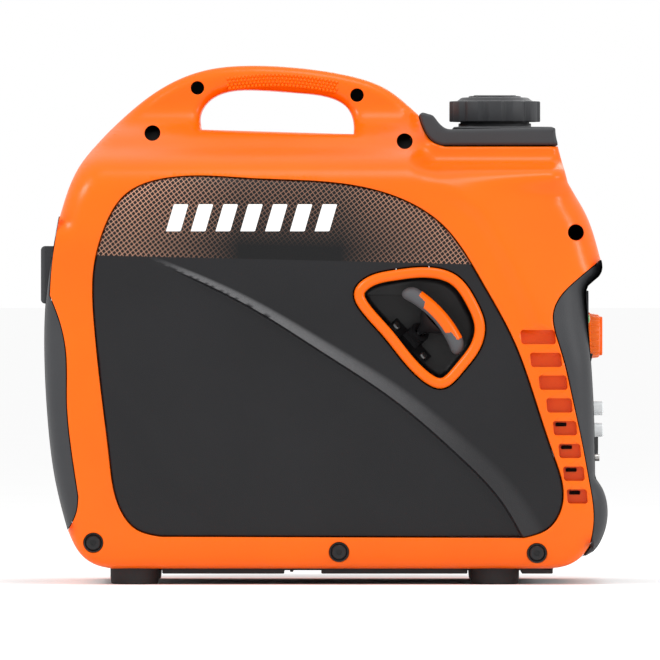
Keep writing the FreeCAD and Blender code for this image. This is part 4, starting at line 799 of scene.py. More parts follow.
class Nodes:
    """A small helper that adds and links shader nodes in one tree."""

    def __init__(self, tree: bpy.types.NodeTree) -> None:
        """Keeps the tree."""
        self.tree = tree

    def add(self, kind: str, **inputs: object) -> bpy.types.Node:
        """A node with its inputs set or linked, and its properties set.

        Args:
            kind: the node's type name, without the ShaderNode prefix.
            **inputs: by socket name with spaces as underscores, or a property of the node.

        Returns:
            The node.
        """
        made = self.tree.nodes.new("ShaderNode" + kind)
        for key, value in inputs.items():
            if hasattr(made, key) and key not in ("color",):
                setattr(made, key, value)
                continue
            self.feed(made, key.replace("_", " "), value)
        return made

    def feed(self, made: bpy.types.Node, name: str | int, value: object) -> None:
        """Sets or links one input."""
        socket = made.inputs[int(name[1:])] if isinstance(name, str) and name[0] == "#" else made.inputs[name]
        if isinstance(value, bpy.types.NodeSocket):
            self.tree.links.new(value, socket)
        else:
            socket.default_value = value

    def math(self, operation: str, a: object, b: object = 0.0, clamp: bool = False) -> bpy.types.NodeSocket:
        """The result of a Math node.

        Args:
            operation: what the node does.
            a: first value or socket.
            b: second value or socket.
            clamp: whether the result is kept within 0 and 1.

        Returns:
            The result's socket.
        """
        made = self.tree.nodes.new("ShaderNodeMath")
        made.operation = operation
        made.use_clamp = clamp
        self.feed(made, "#0", a)
        self.feed(made, "#1", b)
        return made.outputs[0]

    def mix(self, factor: object, a: object, b: object) -> bpy.types.NodeSocket:
        """Two colours mixed by a factor.

        Args:
            factor: share of the second colour.
            a: first colour or socket.
            b: second colour or socket.

        Returns:
            The colour's socket.
        """
        made = self.tree.nodes.new("ShaderNodeMix")
        made.data_type = "RGBA"
        self.feed(made, "#0", factor)
        self.feed(made, "#6", a)
        self.feed(made, "#7", b)
        return made.outputs[2]

    def span(
        self, value: object, low: float, high: float, to_low: float = 0.0, to_high: float = 1.0
    ) -> bpy.types.NodeSocket:
        """A value mapped from one range to another, and clamped.

        Args:
            value: the value or socket.
            low: start of the first range.
            high: end of the first range.
            to_low: start of the second range.
            to_high: end of the second range.

        Returns:
            The mapped value's socket.
        """
        made = self.tree.nodes.new("ShaderNodeMapRange")
        self.feed(made, "Value", value)
        for key, number in (("From Min", low), ("From Max", high), ("To Min", to_low), ("To Max", to_high)):
            self.feed(made, key, number)
        return made.outputs[0]


def sockets(tree: bpy.types.NodeTree, ins: Sequence[tuple], outs: Sequence[tuple]) -> tuple:
    """Makes a group's sockets, and returns its input and output nodes.

    Args:
        tree: the group.
        ins: name, kind and default of each input.
        outs: name and kind of each output.

    Returns:
        The group's input and output nodes.
    """
    for name, kind, default in ins:
        made = tree.interface.new_socket(name=name, in_out="INPUT", socket_type="NodeSocket" + kind)
        if default is not None:
            made.default_value = default
    for name, kind in outs:
        tree.interface.new_socket(name=name, in_out="OUTPUT", socket_type="NodeSocket" + kind)
    return tree.nodes.new("NodeGroupInput"), tree.nodes.new("NodeGroupOutput")


def build_group(which: Group) -> bpy.types.NodeTree:
    """Builds a shared shader group once, and finds it again after that.

    Args:
        which: the group.

    Returns:
        The group's node tree.
    """
    found = bpy.data.node_groups.get(which.value)
    if found:
        return found
    tree = bpy.data.node_groups.new(which.value, "ShaderNodeTree")
    n = Nodes(tree)
    if which is Group.GRAIN:
        ins = (
            ("Scale", "Float", 1500.0), ("Depth", "Float", 1.0), ("Rough", "Float", 0.4),
            ("Spread", "Float", 0.06),
        )
        source, sink = sockets(tree, ins, (("Height", "Float"), ("Roughness", "Float")))
        where = n.add("NewGeometry").outputs["Position"]
        pits = n.add("TexVoronoi", Vector=where, Scale=source.outputs["Scale"])
        fine = n.add("TexNoise", Vector=where, Scale=source.outputs["Scale"], Detail=2.0)
        broad = n.add("TexNoise", Vector=where, Scale=22.0, Detail=3.0)
        height = n.math("ADD", pits.outputs["Distance"], fine.outputs[0])
        height = n.math("MULTIPLY", height, source.outputs["Depth"])
        drift = n.math("MULTIPLY", n.math("SUBTRACT", broad.outputs[0], 0.5), source.outputs["Spread"])
        n.feed(sink, "Height", height)
        n.feed(sink, "Roughness", n.math("ADD", source.outputs["Rough"], drift, clamp=True))
    elif which is Group.TONE:
        ins = (
            ("Base", "Color", None), ("Other", "Color", None), ("Scale", "Float", 9.0),
            ("Amount", "Float", 0.5),
        )
        source, sink = sockets(tree, ins, (("Color", "Color"),))
        where = n.add("NewGeometry").outputs["Position"]
        cloud = n.add("TexNoise", Vector=where, Scale=source.outputs["Scale"], Detail=4.0)
        share = n.math("MULTIPLY", n.span(cloud.outputs[0], 0.35, 0.65), source.outputs["Amount"])
        n.feed(sink, "Color", n.mix(share, source.outputs["Base"], source.outputs["Other"]))
    else:
        ins = (("Color", "Color", None), ("Dust", "Color", (0.35, 0.33, 0.30, 1)), ("Amount", "Float", 0.06))
        source, sink = sockets(tree, ins, (("Color", "Color"),))
        info = n.add("NewGeometry")
        up = n.add("SeparateXYZ", Vector=info.outputs["Normal"]).outputs["Z"]
        specks = n.add("TexNoise", Vector=info.outputs["Position"], Scale=160.0, Detail=5.0)
        share = n.math("MULTIPLY", n.span(up, 0.3, 1.0), n.span(specks.outputs[0], 0.45, 0.75))
        share = n.math("MULTIPLY", share, source.outputs["Amount"])
        n.feed(sink, "Color", n.mix(share, source.outputs["Color"], source.outputs["Dust"]))
    return tree


def use_group(n: Nodes, which: Group, **inputs: object) -> bpy.types.Node:
    """Places a shared group in a material, with its own values."""
    made = n.tree.nodes.new("ShaderNodeGroup")
    made.node_tree = build_group(which)
    for key, value in inputs.items():
        n.feed(made, key, value)
    return made


# ------------------------------------------------------------------ finishes
Colour = tuple[float, float, float, float]


@dataclass(frozen=True)
class Finish:
    """A finish: base and second tone, gloss, grain and metal."""

    name: str
    base: Colour
    other: Colour
    rough: float
    slot: str
    spread: float = 0.08
    grain: float = 1500.0
    depth: float = 0.05
    metal: float = 0.0
    coat: float = 0.0
    specular: float = 0.5
    glow: float = 0.0
    dust: float = 0.05

    def shade(self, n: Nodes) -> bpy.types.NodeSocket:
        """The finish's colour over the surface."""
        tone = use_group(n, Group.TONE, Base=self.base, Other=self.other, Amount=0.6)
        return use_group(n, Group.DUST, Color=tone.outputs[0], Amount=self.dust).outputs[0]

    def material(self) -> bpy.types.Material:
        """Builds the material once, and finds it again after that.

        Returns:
            The material.
        """
        found = bpy.data.materials.get(self.name)
        if found:
            return found
        made = bpy.data.materials.new(self.name)
        made.use_nodes = True
        tree = made.node_tree
        n = Nodes(tree)
        shader = tree.nodes["Principled BSDF"]
        grain = use_group(n, Group.GRAIN, Scale=self.grain, Rough=self.rough, Spread=self.spread)
        n.feed(shader, "Base Color", self.shade(n))
        n.feed(shader, "Roughness", grain.outputs["Roughness"])
        shader.inputs["Metallic"].default_value = self.metal
        shader.inputs["Coat Weight"].default_value = self.coat
        shader.inputs["Coat Roughness"].default_value = 0.2
        shader.inputs["Specular IOR Level"].default_value = self.specular
        if self.glow:
            shader.inputs["Emission Color"].default_value = self.base
            shader.inputs["Emission Strength"].default_value = self.glow
        bump = n.add("Bump", Height=self.relief(n, grain.outputs["Height"]), Strength=self.depth * 4)
        bump.inputs["Distance"].default_value = 0.00025
        n.feed(shader, "Normal", bump.outputs[0])
        made.diffuse_color = self.base
        return made

    def relief(self, n: Nodes, height: bpy.types.NodeSocket) -> bpy.types.NodeSocket:
        """The bump's height: the grain, unless a finish adds its own."""
        return height


@dataclass(frozen=True)
class PanelFinish(Finish):
    """The side panel's charcoal, with a painted highlight on the wave's upper face and a printed band of fine
    crossed lines along its top.
    """

    ink: Colour = (0.004, 0.004, 0.0045, 1)
    line: Colour = (0.62, 0.33, 0.22, 1)
    # colour of the painted highlight on the wave's upper face
    painted_sheen: Colour = (0.15, 0.15, 0.155, 1)

    def shade(self, n: Nodes) -> bpy.types.NodeSocket:
        """Charcoal below, lightened by a painted highlight on the wave's upper face, and the printed band above
        a slightly sloping edge.

        Args:
            n: the material's nodes.

        Returns:
            The colour's socket.
        """
        # painted highlight: where the mesh's "wave" attribute marks the wave's upper face, the charcoal is
        # mixed towards pale grey, broken up by fine noise
        wave = n.add("Attribute")
        wave.attribute_name = "wave"
        grains = n.span(n.add("TexNoise", Scale=900.0, Detail=3.0).outputs[0], 0.42, 0.62, 0.35, 1.0)
        painted_sheen = n.math("MULTIPLY", wave.outputs["Fac"], grains)
        plain = n.mix(painted_sheen, super().shade(n), self.painted_sheen)
        where = n.add("SeparateXYZ", Vector=n.add("NewGeometry").outputs["Position"])
        x, z = where.outputs["X"], where.outputs["Z"]
        edge = n.math("ADD", 0.2876, n.math("MULTIPLY", x, -0.024))
        above = n.math("SUBTRACT", z, edge)
        band = n.span(above, 0.0, 0.0004)
        lines = None
        for across, up in ((-0.616, 0.788), (0.819, 0.574)):
            run = n.math("ADD", n.math("MULTIPLY", x, across), n.math("MULTIPLY", z, up))
            saw = n.math("PINGPONG", n.math("DIVIDE", run, 0.0017), 1.0)
            thin = n.span(saw, 0.74, 0.92)
            lines = thin if lines is None else n.math("MAXIMUM", lines, thin)
        sides = n.span(n.math("ABSOLUTE", n.math("ADD", x, 0.03)), 0.045, 0.14)
        high = n.span(above, 0.012, 0.06)
        fade = n.math("ADD", n.math("MULTIPLY", sides, 0.62), n.math("MULTIPLY", high, 0.34), clamp=True)
        print_colour = n.mix(n.math("MULTIPLY", lines, fade), self.ink, self.line)
        return n.mix(band, plain, print_colour)


class Finishes:
    """Every finish of the machine."""

    ORANGE = Finish(
        "orange_moulding", (0.84, 0.124, 0.0, 1), (0.78, 0.104, 0.0, 1), 0.30, "orange_plastic",
        depth=0.02, coat=0.04, dust=0.0, specular=0.22,
    )
    PANEL = PanelFinish(
        "charcoal_panel", (0.011, 0.011, 0.0125, 1), (0.008, 0.008, 0.009, 1), 0.42, "charcoal_plastic",
        grain=1100.0, depth=0.06, dust=0.0, specular=0.22,
    )
    CHARCOAL = Finish(
        "charcoal_moulding", (0.034, 0.035, 0.038, 1), (0.027, 0.028, 0.031, 1), 0.48, "charcoal_plastic",
        grain=1200.0, depth=0.08, dust=0.0, specular=0.3,
    )
    BLACK = Finish(
        "black_moulding", (0.010, 0.010, 0.011, 1), (0.007, 0.007, 0.008, 1), 0.36, "black_plastic",
        depth=0.05, dust=0.0, specular=0.35,
    )
    # painted shade: flat black for the shadow inside deep recesses and slots
    SHADE_BLACK = Finish(
        "unlit_black", (0.003, 0.003, 0.003, 1), (0.002, 0.002, 0.002, 1), 0.8, "black_plastic",
        depth=0.02, dust=0.0, specular=0.1,
    )
    RUBBER = Finish(
        "foot_rubber", (0.022, 0.022, 0.023, 1), (0.015, 0.015, 0.016, 1), 0.72, "dark_rubber",
        depth=0.12, specular=0.3,
    )
    GREY_RUBBER = Finish(
        "grip_rubber", (0.075, 0.078, 0.084, 1), (0.06, 0.062, 0.068, 1), 0.6, "grey_rubber",
        depth=0.1, specular=0.35,
    )
    BOLT = Finish(
        "black_oxide", (0.012, 0.012, 0.013, 1), (0.02, 0.02, 0.021, 1), 0.33, "bolt_black",
        metal=0.5, depth=0.02,
    )
    STEEL = Finish(
        "turned_steel", (0.52, 0.51, 0.49, 1), (0.42, 0.41, 0.39, 1), 0.28, "bright_steel",
        metal=1.0, depth=0.03, grain=600.0,
    )
    CAST = Finish(
        "cast_aluminium", (0.46, 0.46, 0.45, 1), (0.36, 0.36, 0.355, 1), 0.52, "cast_aluminium",
        metal=0.9, depth=0.3, grain=700.0,
    )
    DARK_STEEL = Finish(
        "blackened_steel", (0.16, 0.16, 0.16, 1), (0.10, 0.10, 0.10, 1), 0.35, "bolt_black",
        metal=0.9, depth=0.03, grain=600.0,
    )
    COPPER = Finish(
        "enamelled_wire", (0.50, 0.17, 0.05, 1), (0.40, 0.12, 0.035, 1), 0.35, "winding_copper",
        metal=0.8, depth=0.25, grain=500.0,
    )
    HEAT = Finish(
        "heat_tinted_steel", (0.30, 0.25, 0.20, 1), (0.20, 0.15, 0.16, 1), 0.45, "heat_steel",
        metal=0.9, depth=0.1, spread=0.2,
    )
    FOAM = Finish(
        "open_foam", (0.06, 0.06, 0.065, 1), (0.03, 0.03, 0.032, 1), 0.95, "filter_foam",
        depth=1.0, grain=420.0, specular=0.1,
    )
    ROPE = Finish(
        "braided_rope", (0.035, 0.035, 0.038, 1), (0.10, 0.10, 0.105, 1), 0.85, "rope",
        depth=0.8, grain=700.0, specular=0.2,
    )
    TANK = Finish(
        "blow_moulded", (0.03, 0.03, 0.031, 1), (0.02, 0.02, 0.021, 1), 0.6, "tank_plastic",
        depth=0.2,
    )
    CLEAR = Finish(
        "clear_boot", (0.55, 0.57, 0.58, 1), (0.42, 0.43, 0.44, 1), 0.18, "clear_boot",
        coat=0.6, depth=0.02,
    )
    LENS = Finish(
        "green_lens", (0.06, 0.35, 0.05, 1), (0.05, 0.28, 0.04, 1), 0.15, "lamp_lens",
        coat=0.5, depth=0.01,
    )
    OUTLET = Finish(
        "outlet_face", (0.030, 0.030, 0.032, 1), (0.024, 0.024, 0.026, 1), 0.3, "outlet_face",
        depth=0.03,
    )
    WHITE = Finish(
        "white_print", (0.80, 0.80, 0.79, 1), (0.74, 0.74, 0.73, 1), 0.45, "charcoal_plastic",
        depth=0.02,
    )
    COPPER_PRINT = Finish(
        "orange_print", (0.80, 0.17, 0.015, 1), (0.74, 0.14, 0.012, 1), 0.45, "orange_plastic",
        depth=0.02,
    )


def dress(obj: bpy.types.Object, finish: Finish, body: str, *replaced: str) -> bpy.types.Object:
    """Gives a piece its finish, its body, and the CAD sub-parts it stands for.

    Args:
        obj: the piece.
        finish: its finish.
        body: the body it rides on.
        replaced: names of the CAD sub-parts it stands for.

    Returns:
        The piece.
    """
    obj.data.materials.clear()
    obj.data.materials.append(finish.material())
    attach(obj, body)
    if replaced:
        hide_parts(*replaced)
    log.info("%s: %s, rides on %s", obj.name, finish.name, body)
    return obj


# ------------------------------------------------------------------ housing
@dataclass
class Housing:
    """The orange halves, and the dark mouldings that close them."""

    seam_gap: float = 0.4 * MM
    edge: float = 22 * MM  # rounding of the body's silhouette
    arch_edge: float = 9.5 * MM  # rounding of the handle
    seam_edge: float = 1.1 * MM
    recess_radius: float = 7.1 * MM
    handle_recess_radius: float = 6.0 * MM
    bolt_recess_radius: float = 8.9 * MM
    vents: int = 8
    vent_pitch: float = 20.2 * MM
    vent_height: float = 12.7 * MM

    def build(self) -> None:
        """Builds every moulding of the housing."""
        side = self.side_shell()
        other = mirrored(side, "service_shell_moulding")
        dress(side, Finishes.ORANGE, "housing", "starter_side_shell")
        dress(other, Finishes.ORANGE, "housing", "service_side_shell")
        # painted shade in the deep screw recesses and the vent slots
        self.shade_wells()
        self.end_mouldings()

    def side_border(self) -> Border:
        """The orange outline: round where it is the body's own edge, a seam elsewhere.

        Returns:
            The border of one orange half.
        """
        stretches = (
            (TOP_EDGE, True), (DECK_FILLET, True), (((21.5, 84.2), (41.4, 84.2)), True),
            (NOSE_SLOPE, True), (NOSE_EDGE, True), (BEZEL_HOOK, False), (BEZEL_EDGE, False),
            (SOLE_FRONT, True), (((39.6, 3.0), (-37.3, 3.0)), True), (SOLE_REAR, True),
            (TAIL_HOOK, False), (TAIL_EDGE, False), (TAIL_RISE, False),
        )
        loops, free = [], []
        for points, is_free in stretches:
            pts = grid(points)
            run = (smooth(pts, 2.5 * MM) if len(pts) > 2 else resample(pts, 2.5 * MM))[:-1]
            loops.append(run)
            free += [is_free] * len(run)
        xz = np.vstack(loops)
        free_edge = np.array(free)
        x, z = xz[:, 0], xz[:, 1]
        radius = np.where(z > 0.83 * HEIGHT, self.arch_edge, self.edge)
        radius = np.where((x > 0.17 * LENGTH) & (z > 0.80 * HEIGHT), 4 * MM, radius)
        radius = np.where(z < 0.09 * HEIGHT, 8 * MM, radius)
        radius = np.where(free_edge, radius, self.seam_edge)
        kernel = np.ones(21) / 21
        filled_in = np.where(free_edge, radius, self.edge)
        soft = np.convolve(np.concatenate([filled_in[-10:], filled_in, filled_in[:10]]), kernel, "valid")
        radius = np.where(free_edge, soft, self.seam_edge)
        wall = np.where(free_edge & (z > 0.04 * HEIGHT), TO_MIDDLE, 7 * MM)
        wall = np.where(free_edge & (z <= 0.04 * HEIGHT), 26 * MM, wall)
        flat = FORM.unroll(xz)
        return Border(offset(flat, self.seam_gap), radius, wall)

    def vent_loop(self, k: int) -> np.ndarray:
        """The round-cornered outline of one cooling recess, counted from the top."""
        left = (34.8 + 1.775 * k - 0.088 * k * k) / 100 * LENGTH
        right = (40.85 + 1.107 * k - 0.044 * k * k) / 100 * LENGTH
        z = 0.475 * HEIGHT - k * self.vent_pitch
        half = self.vent_height / 2
        return rounded_box((left, z - half), (right, z + half), 2.6 * MM, -1.2 * MM)

    def side_shell(self) -> bpy.types.Object:
        """One orange half, on the starter side.

        Returns:
            The mesh object.
        """
        holes = [Border(FORM.unroll(offset(path(PANEL_EDGE), 0)), 1.6 * MM, 7 * MM)]
        arch = FORM.unroll(path(HANDLE_ARCH))
        holes.append(Border(arch, 8.5 * MM, TO_MIDDLE))
        for p in BODY_SCREWS:
            deep = 34 * MM if p[0] > 40 else 16 * MM
            holes.append(Border(FORM.unroll(circle(grid([p])[0], self.recess_radius)), 0.7 * MM, deep, True))
        for p in HANDLE_SCREWS:
            loop = circle(grid([p])[0], self.handle_recess_radius, 32)
            holes.append(Border(FORM.unroll(loop), 0.6 * MM, 12 * MM, True))
        for p in SHELL_BOLTS:
            loop = circle(grid([p])[0], self.bolt_recess_radius)
            holes.append(Border(FORM.unroll(loop), 0.8 * MM, 4.4 * MM, True))
        for k in range(self.vents):
            holes.append(Border(FORM.unroll(self.vent_loop(k)), 1.0 * MM, 12 * MM, True))
        sheet = MouldedSheet(self.side_border(), holes, side_sheet(STARTER))
        return sheet.build("starter_shell_moulding")

    def shade_wells(self) -> None:
        """Painted shade: black sleeves in the deep screw recesses and black plates at the slots of the lower
        cooling recesses, standing in for the shadow inside them.
        """
        parts = []
        for p, r, deep in (
            *((p, self.recess_radius, 34 if p[0] > 40 else 16) for p in BODY_SCREWS),
            *((p, self.handle_recess_radius, 12) for p in HANDLE_SCREWS),
        ):
            # painted shade: a black sleeve down the recess
            loop = circle(grid([p])[0], r - 0.06 * MM, 40)
            w = FORM.out(loop)
            lip = 2.6 * MM if p[0] > 40 else 1.0 * MM
            verts = [(q[0], -(a - lip), q[1]) for q, a in zip(loop, w)]
            verts += [(q[0], -(a - deep * MM + 0.3 * MM), q[1]) for q, a in zip(loop, w)]
            faces = [(k, (k + 1) % 40, 40 + (k + 1) % 40, 40 + k) for k in range(40)]
            faces.append(tuple(range(40, 80)))
            parts.append(piece("well", verts, faces))
        # painted shade: a black plate where a slot opens into the dark inside
        for k in range(4, self.vents):
            loop = self.vent_loop(k)
            low, high = loop.min(0), loop.max(0)
            near = (low[0] + 2.4 * MM, high[1] - 4.8 * MM)
            box = rounded_box(near, (low[0] + 12 * MM, high[1] - 1.5 * MM), 0.8 * MM)
            y = float(FORM.out(box.mean(0)[None])[0]) - 11.3 * MM
            parts.append(slab("slot", box, -y, -y + 1.2 * MM, 0.05 * MM))
        shade_wells = joined("starter_side_wells", parts)
        dress(shade_wells, Finishes.SHADE_BLACK, "housing")
        dress(mirrored(shade_wells, "service_side_wells"), Finishes.SHADE_BLACK, "housing")

    def end_mouldings(self) -> None:
        """The rear cover and the front bezel, each two sides and a face."""
        rear = self.end_piece("rear_cover_moulding", True)
        dress(rear, Finishes.CHARCOAL, "housing", "rear_cover")
        front = self.end_piece("front_bezel_moulding", False)
        dress(front, Finishes.CHARCOAL, "housing", "front_bezel")

    def end_piece(self, name: str, rear: bool) -> bpy.types.Object:
        """One end moulding: a strip on each side and the face between them.

        Args:
            name: name of the new object.
            rear: whether it is the rear end.

        Returns:
            The joined object.
        """
        if rear:
            stretches = (
                (REAR_FACE, True), (TAIL_RISE[::-1], False), (TAIL_EDGE[::-1], False),
                (TAIL_HOOK[::-1], False),
            )
            face = smooth(grid(REAR_FACE), 3 * MM)
        else:
            stretches = (
                (FRONT_BROW, True), (FRONT_FACE, True), (BUMPER, True),
                (((45.3, 5.2), (46.8, 7.3)), True),
                (BEZEL_EDGE[::-1], False), (BEZEL_HOOK[::-1], False),
            )
            face = np.vstack([smooth(grid(p), 3 * MM)[:-1] for p in (FRONT_BROW, FRONT_FACE, BUMPER)])
        loops, free = [], []
        for points, is_free in stretches:
            pts = grid(points)
            run = (smooth(pts, 2 * MM) if len(pts) > 2 else resample(pts, 2 * MM))[:-1]
            loops.append(run)
            free += [is_free] * len(run)
        free_edge = np.array(free)
        flat = FORM.unroll(np.vstack(loops))
        radius = np.where(free_edge, self.edge, self.seam_edge)
        wall = np.where(free_edge, 0.0, 7 * MM)
        border = Border(offset(flat, self.seam_gap), radius, wall)
        side = MouldedSheet(border, [], side_sheet(STARTER), step=3 * MM)
        strip = side.build(name + "_side")
        twin = mirrored(strip, name + "_twin")
        return joined(name, [strip, twin, self.end_face(name + "_face", face, rear)])

    def end_face(self, name: str, line: np.ndarray, rear: bool) -> bpy.types.Object:
        """The face across an end, with its louvres and hood window or its panel opening.

        Args:
            name: name of the new object.
            line: (n, 2) points of the end, from the side.
            rear: whether it is the rear end.

        Returns:
            The mesh object.
        """
        order = np.argsort(line[:, 1])
        zs, xs = line[order, 1], line[order, 0]
        low, high = zs[0] + 0.4 * MM, zs[-1] - 0.4 * MM
        half = HALF_SIDE - self.edge + 0.3 * MM
        corners = [(-half, low), (half, low), (half, high), (-half, high), (-half, low)]
        loop = resample(np.array(corners), 4 * MM, True)
        holes = []
        if rear:
            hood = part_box("exhaust_hood")
            for k in range(7):
                z = (0.20 + 0.041 * k) * HEIGHT
                louvre = rounded_box((-75 * MM, z), (75 * MM, z + 9 * MM), 4.2 * MM)
                holes.append(Border(louvre, 1.2 * MM, 6 * MM))
            low_h, high_h = hood[0].z + 7 * MM, hood[1].z - 7 * MM
            window = rounded_box((-68 * MM, low_h), (68 * MM, high_h), 3 * MM)
            holes.append(Border(window, 1 * MM, 5 * MM))
        else:
            low_p, high_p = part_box("control_panel")
            gap = 0.4 * MM
            loop_p = rounded_box((low_p.y - gap, low_p.z - gap), (high_p.y + gap, high_p.z + gap), 12 * MM)
            holes.append(Border(loop_p, 3 * MM, 12 * MM))
        sign = -1.0 if rear else 1.0

        def place(flat: np.ndarray, drop: np.ndarray) -> np.ndarray:
            """Places the domain's points on the end."""
            x = np.interp(flat[:, 1], zs, xs) - sign * drop
            return np.stack([x, flat[:, 0], flat[:, 1]], axis=1)

        sheet = FaceSheet(Border(loop, 0.05 * MM, 0.0), holes, place, step=5 * MM)
        sheet.inward = -sign
        return sheet.build(name)


@dataclass
class FaceSheet(MouldedSheet):
    """A sheet whose walls run along X."""

    inward: float = 1.0

    def _deep(self, point: np.ndarray, wall: float) -> np.ndarray:
        """Where the wall that starts at a point ends."""
        out = np.array(point, float)
        out[0] += self.inward * wall
        return out


@dataclass
class SidePanels:
    """The dark side panels, with the raised wave, its painted highlight and the print on the starter side."""

    gap: float = 0.8 * MM
    sink: float = 0.4 * MM
    rise: float = 2.3 * MM
    valley: float = 2.0 * MM
    crown: float = 1.7 * MM
    crown_reach: float = 30 * MM

    def build(self) -> None:
        """Builds both panels and the plain emblem."""
        loop = FORM.unroll(path(PANEL_EDGE))
        border = Border(offset(loop, self.gap), 1.6 * MM, 4 * MM)
        ring = ring_edge()
        seat = Border(FORM.unroll(offset(ring, -1.1 * MM)), 0.7 * MM, 5 * MM)
        sheet = MouldedSheet(border, [seat], self.surface(STARTER), rows=self.wave_rows())
        panel = sheet.build("starter_panel_moulding")
        # marks where the painted highlight lies on the wave
        self.tint(panel)
        dress(panel, Finishes.PANEL, "housing", "starter_side_panel")
        latch_low, latch_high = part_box("service_latch")
        centre = ((latch_low.x + latch_high.x) / 2, (latch_low.z + latch_high.z) / 2)
        holes = [Border(FORM.unroll(circle(np.array(centre), 15.8 * MM)), 0.8 * MM, 4 * MM)]
        for k in range(6):
            z = 0.20 * HEIGHT + k * 13 * MM
            left = -0.22 * LENGTH
            slot = rounded_box((left, z), (left + 90 * MM, z + 5 * MM), 2.4 * MM)
            holes.append(Border(FORM.unroll(slot), 0.8 * MM, 4 * MM))
        outer = Border(border.loop.copy(), 1.6 * MM, 4 * MM)
        cover = MouldedSheet(outer, holes, self.surface(SERVICE)).build("service_cover_moulding")
        cover.data.flip_normals()
        dress(cover, Finishes.CHARCOAL, "side_cover", "service_cover")
        self.emblem()

    def wave_rows(self) -> list[np.ndarray]:
        """Rows of points along the wave, close together where it falls away.

        Returns:
            The rows, as domain points.
        """
        ridge = smooth(grid(RIDGE), 3 * MM)
        way = np.gradient(ridge, axis=0)
        down = np.stack([way[:, 1], -way[:, 0]], axis=1) / np.linalg.norm(way, axis=1)[:, None]
        band = (3.5 + 17 * np.linspace(0, 1, len(ridge))) * MM
        rows = [ridge + down * (band * share)[:, None] for share in (0.0, 0.33, 0.66, 1.0)]
        rows += [ridge + down * (band + past * MM)[:, None] for past in (0.5, 1.0, 1.5, 2.0, 2.5, 3.6)]
        return [FORM.unroll(row) for row in rows]

    def tint(self, panel: bpy.types.Object) -> None:
        """Marks the wave's upper face for a painted highlight, a lighter grainy band painted where the
        up-facing slope catches the light.

        Args:
            panel: the panel's mesh object, which gets the attribute "wave", the painted highlight's strength.
        """
        mesh = panel.data
        ridge = smooth(grid(RIDGE), 3 * MM)
        xz = np.array([(v.co.x, v.co.z) for v in mesh.vertices])
        d, i = reach(xz, ridge, closed=False)
        i = np.clip(i, 0, len(ridge) - 2)
        way = ridge[i + 1] - ridge[i]
        sign = way[:, 0] * (xz[:, 1] - ridge[i][:, 1]) - way[:, 1] * (xz[:, 0] - ridge[i][:, 0])
        t = i / (len(ridge) - 2)
        band = (3.5 + 17 * t) * MM
        share = np.where(sign > 0, 0.0, d / band)
        # painted highlight strength: rises across the band's upper face, fading in at the ridge's start and out
        # towards its end
        painted_sheen = np.clip(share * 2.4, 0, 1) * (share <= 1.01)
        painted_sheen = painted_sheen * ease(0.0, 0.12, t) * (1 - 0.86 * ease(0.25, 0.85, t))
        mark = mesh.attributes.new("wave", "FLOAT", "POINT")
        mark.data.foreach_set("value", painted_sheen.astype(np.float32))

    def surface(self, side: int) -> Surface:
        """The panel's surface: the body's side, sunk a little, with the wave.

        Args:
            side: STARTER or SERVICE.

        Returns:
            A function of domain points and their drops.
        """
        ridge = smooth(grid(RIDGE), 3 * MM)
        run = np.linspace(0, 1, len(ridge))
        dent = smooth(grid(DENT), 4 * MM)
        rim = path(PANEL_EDGE, step=5 * MM)

        def place(flat: np.ndarray, drop: np.ndarray) -> np.ndarray:
            """Places the domain's points on the panel.

            Args:
                flat: (n, 2) domain points.
                drop: how far each point lies below the surface.

            Returns:
                (n, 3) places.
            """
            xz = FORM.roll(flat)
            w = FORM.out(xz) - self.sink - drop
            d, i = reach(xz, ridge, closed=False)
            i = np.clip(i, 0, len(ridge) - 2)
            way = ridge[i + 1] - ridge[i]
            sign = way[:, 0] * (xz[:, 1] - ridge[i][:, 1]) - way[:, 1] * (xz[:, 0] - ridge[i][:, 0])
            below = np.where(sign > 0, 0.0, d)
            t = run[i]
            ends = ease(0.0, 0.16, t)
            band = (3.5 + 17 * t) * MM
            up = self.rise * (0.35 * np.clip(below / band, 0, 1) + 0.65 * ease(0.0, 1.0, below / band))
            fall = (self.rise + self.valley) * ease(0.0, 2.4 * MM, below - band)
            back = self.valley * ease(0.0, 75 * MM, below - band)
            w += ends * (up - fall + back)
            w -= 1.1 * MM * np.exp(-((reach(xz, dent, closed=False)[0] / (11 * MM)) ** 2))
            edge = np.clip(1 - reach(xz, rim)[0] / self.crown_reach, 0, 1)
            w -= self.crown * edge**2
            return np.stack([xz[:, 0], side * w, xz[:, 1]], axis=1)

        return place

    def emblem(self) -> None:
        """Slanted bars, as a plain trim print."""
        bars = []
        y = -(HALF_SIDE - self.sink) - 0.05 * MM
        z0 = 0.678 * HEIGHT
        tall = 24 * MM
        for k in range(7):
            left = (-140 + 22 * k) * MM
            tip = (13 * MM, 20 * MM, 7 * MM)
            top = z0 + tall
            loop = np.array([(left, z0), (left + tip[0], z0), (left + tip[1], top), (left + tip[2], top)])
            loop = resample(np.vstack([loop, loop[:1]]), 1.5 * MM, True)
            bars.append(slab("bar", loop, y - 0.1 * MM, y + 0.15 * MM, 0.02 * MM))
        dress(joined("trim_bars", bars), Finishes.WHITE, "housing")


def ring_edge() -> np.ndarray:
    """The outer edge of the recess ring, with soft corners."""
    return soften(smooth(grid(RING_EDGE), 2 * MM, closed=True), 4.5 * MM)


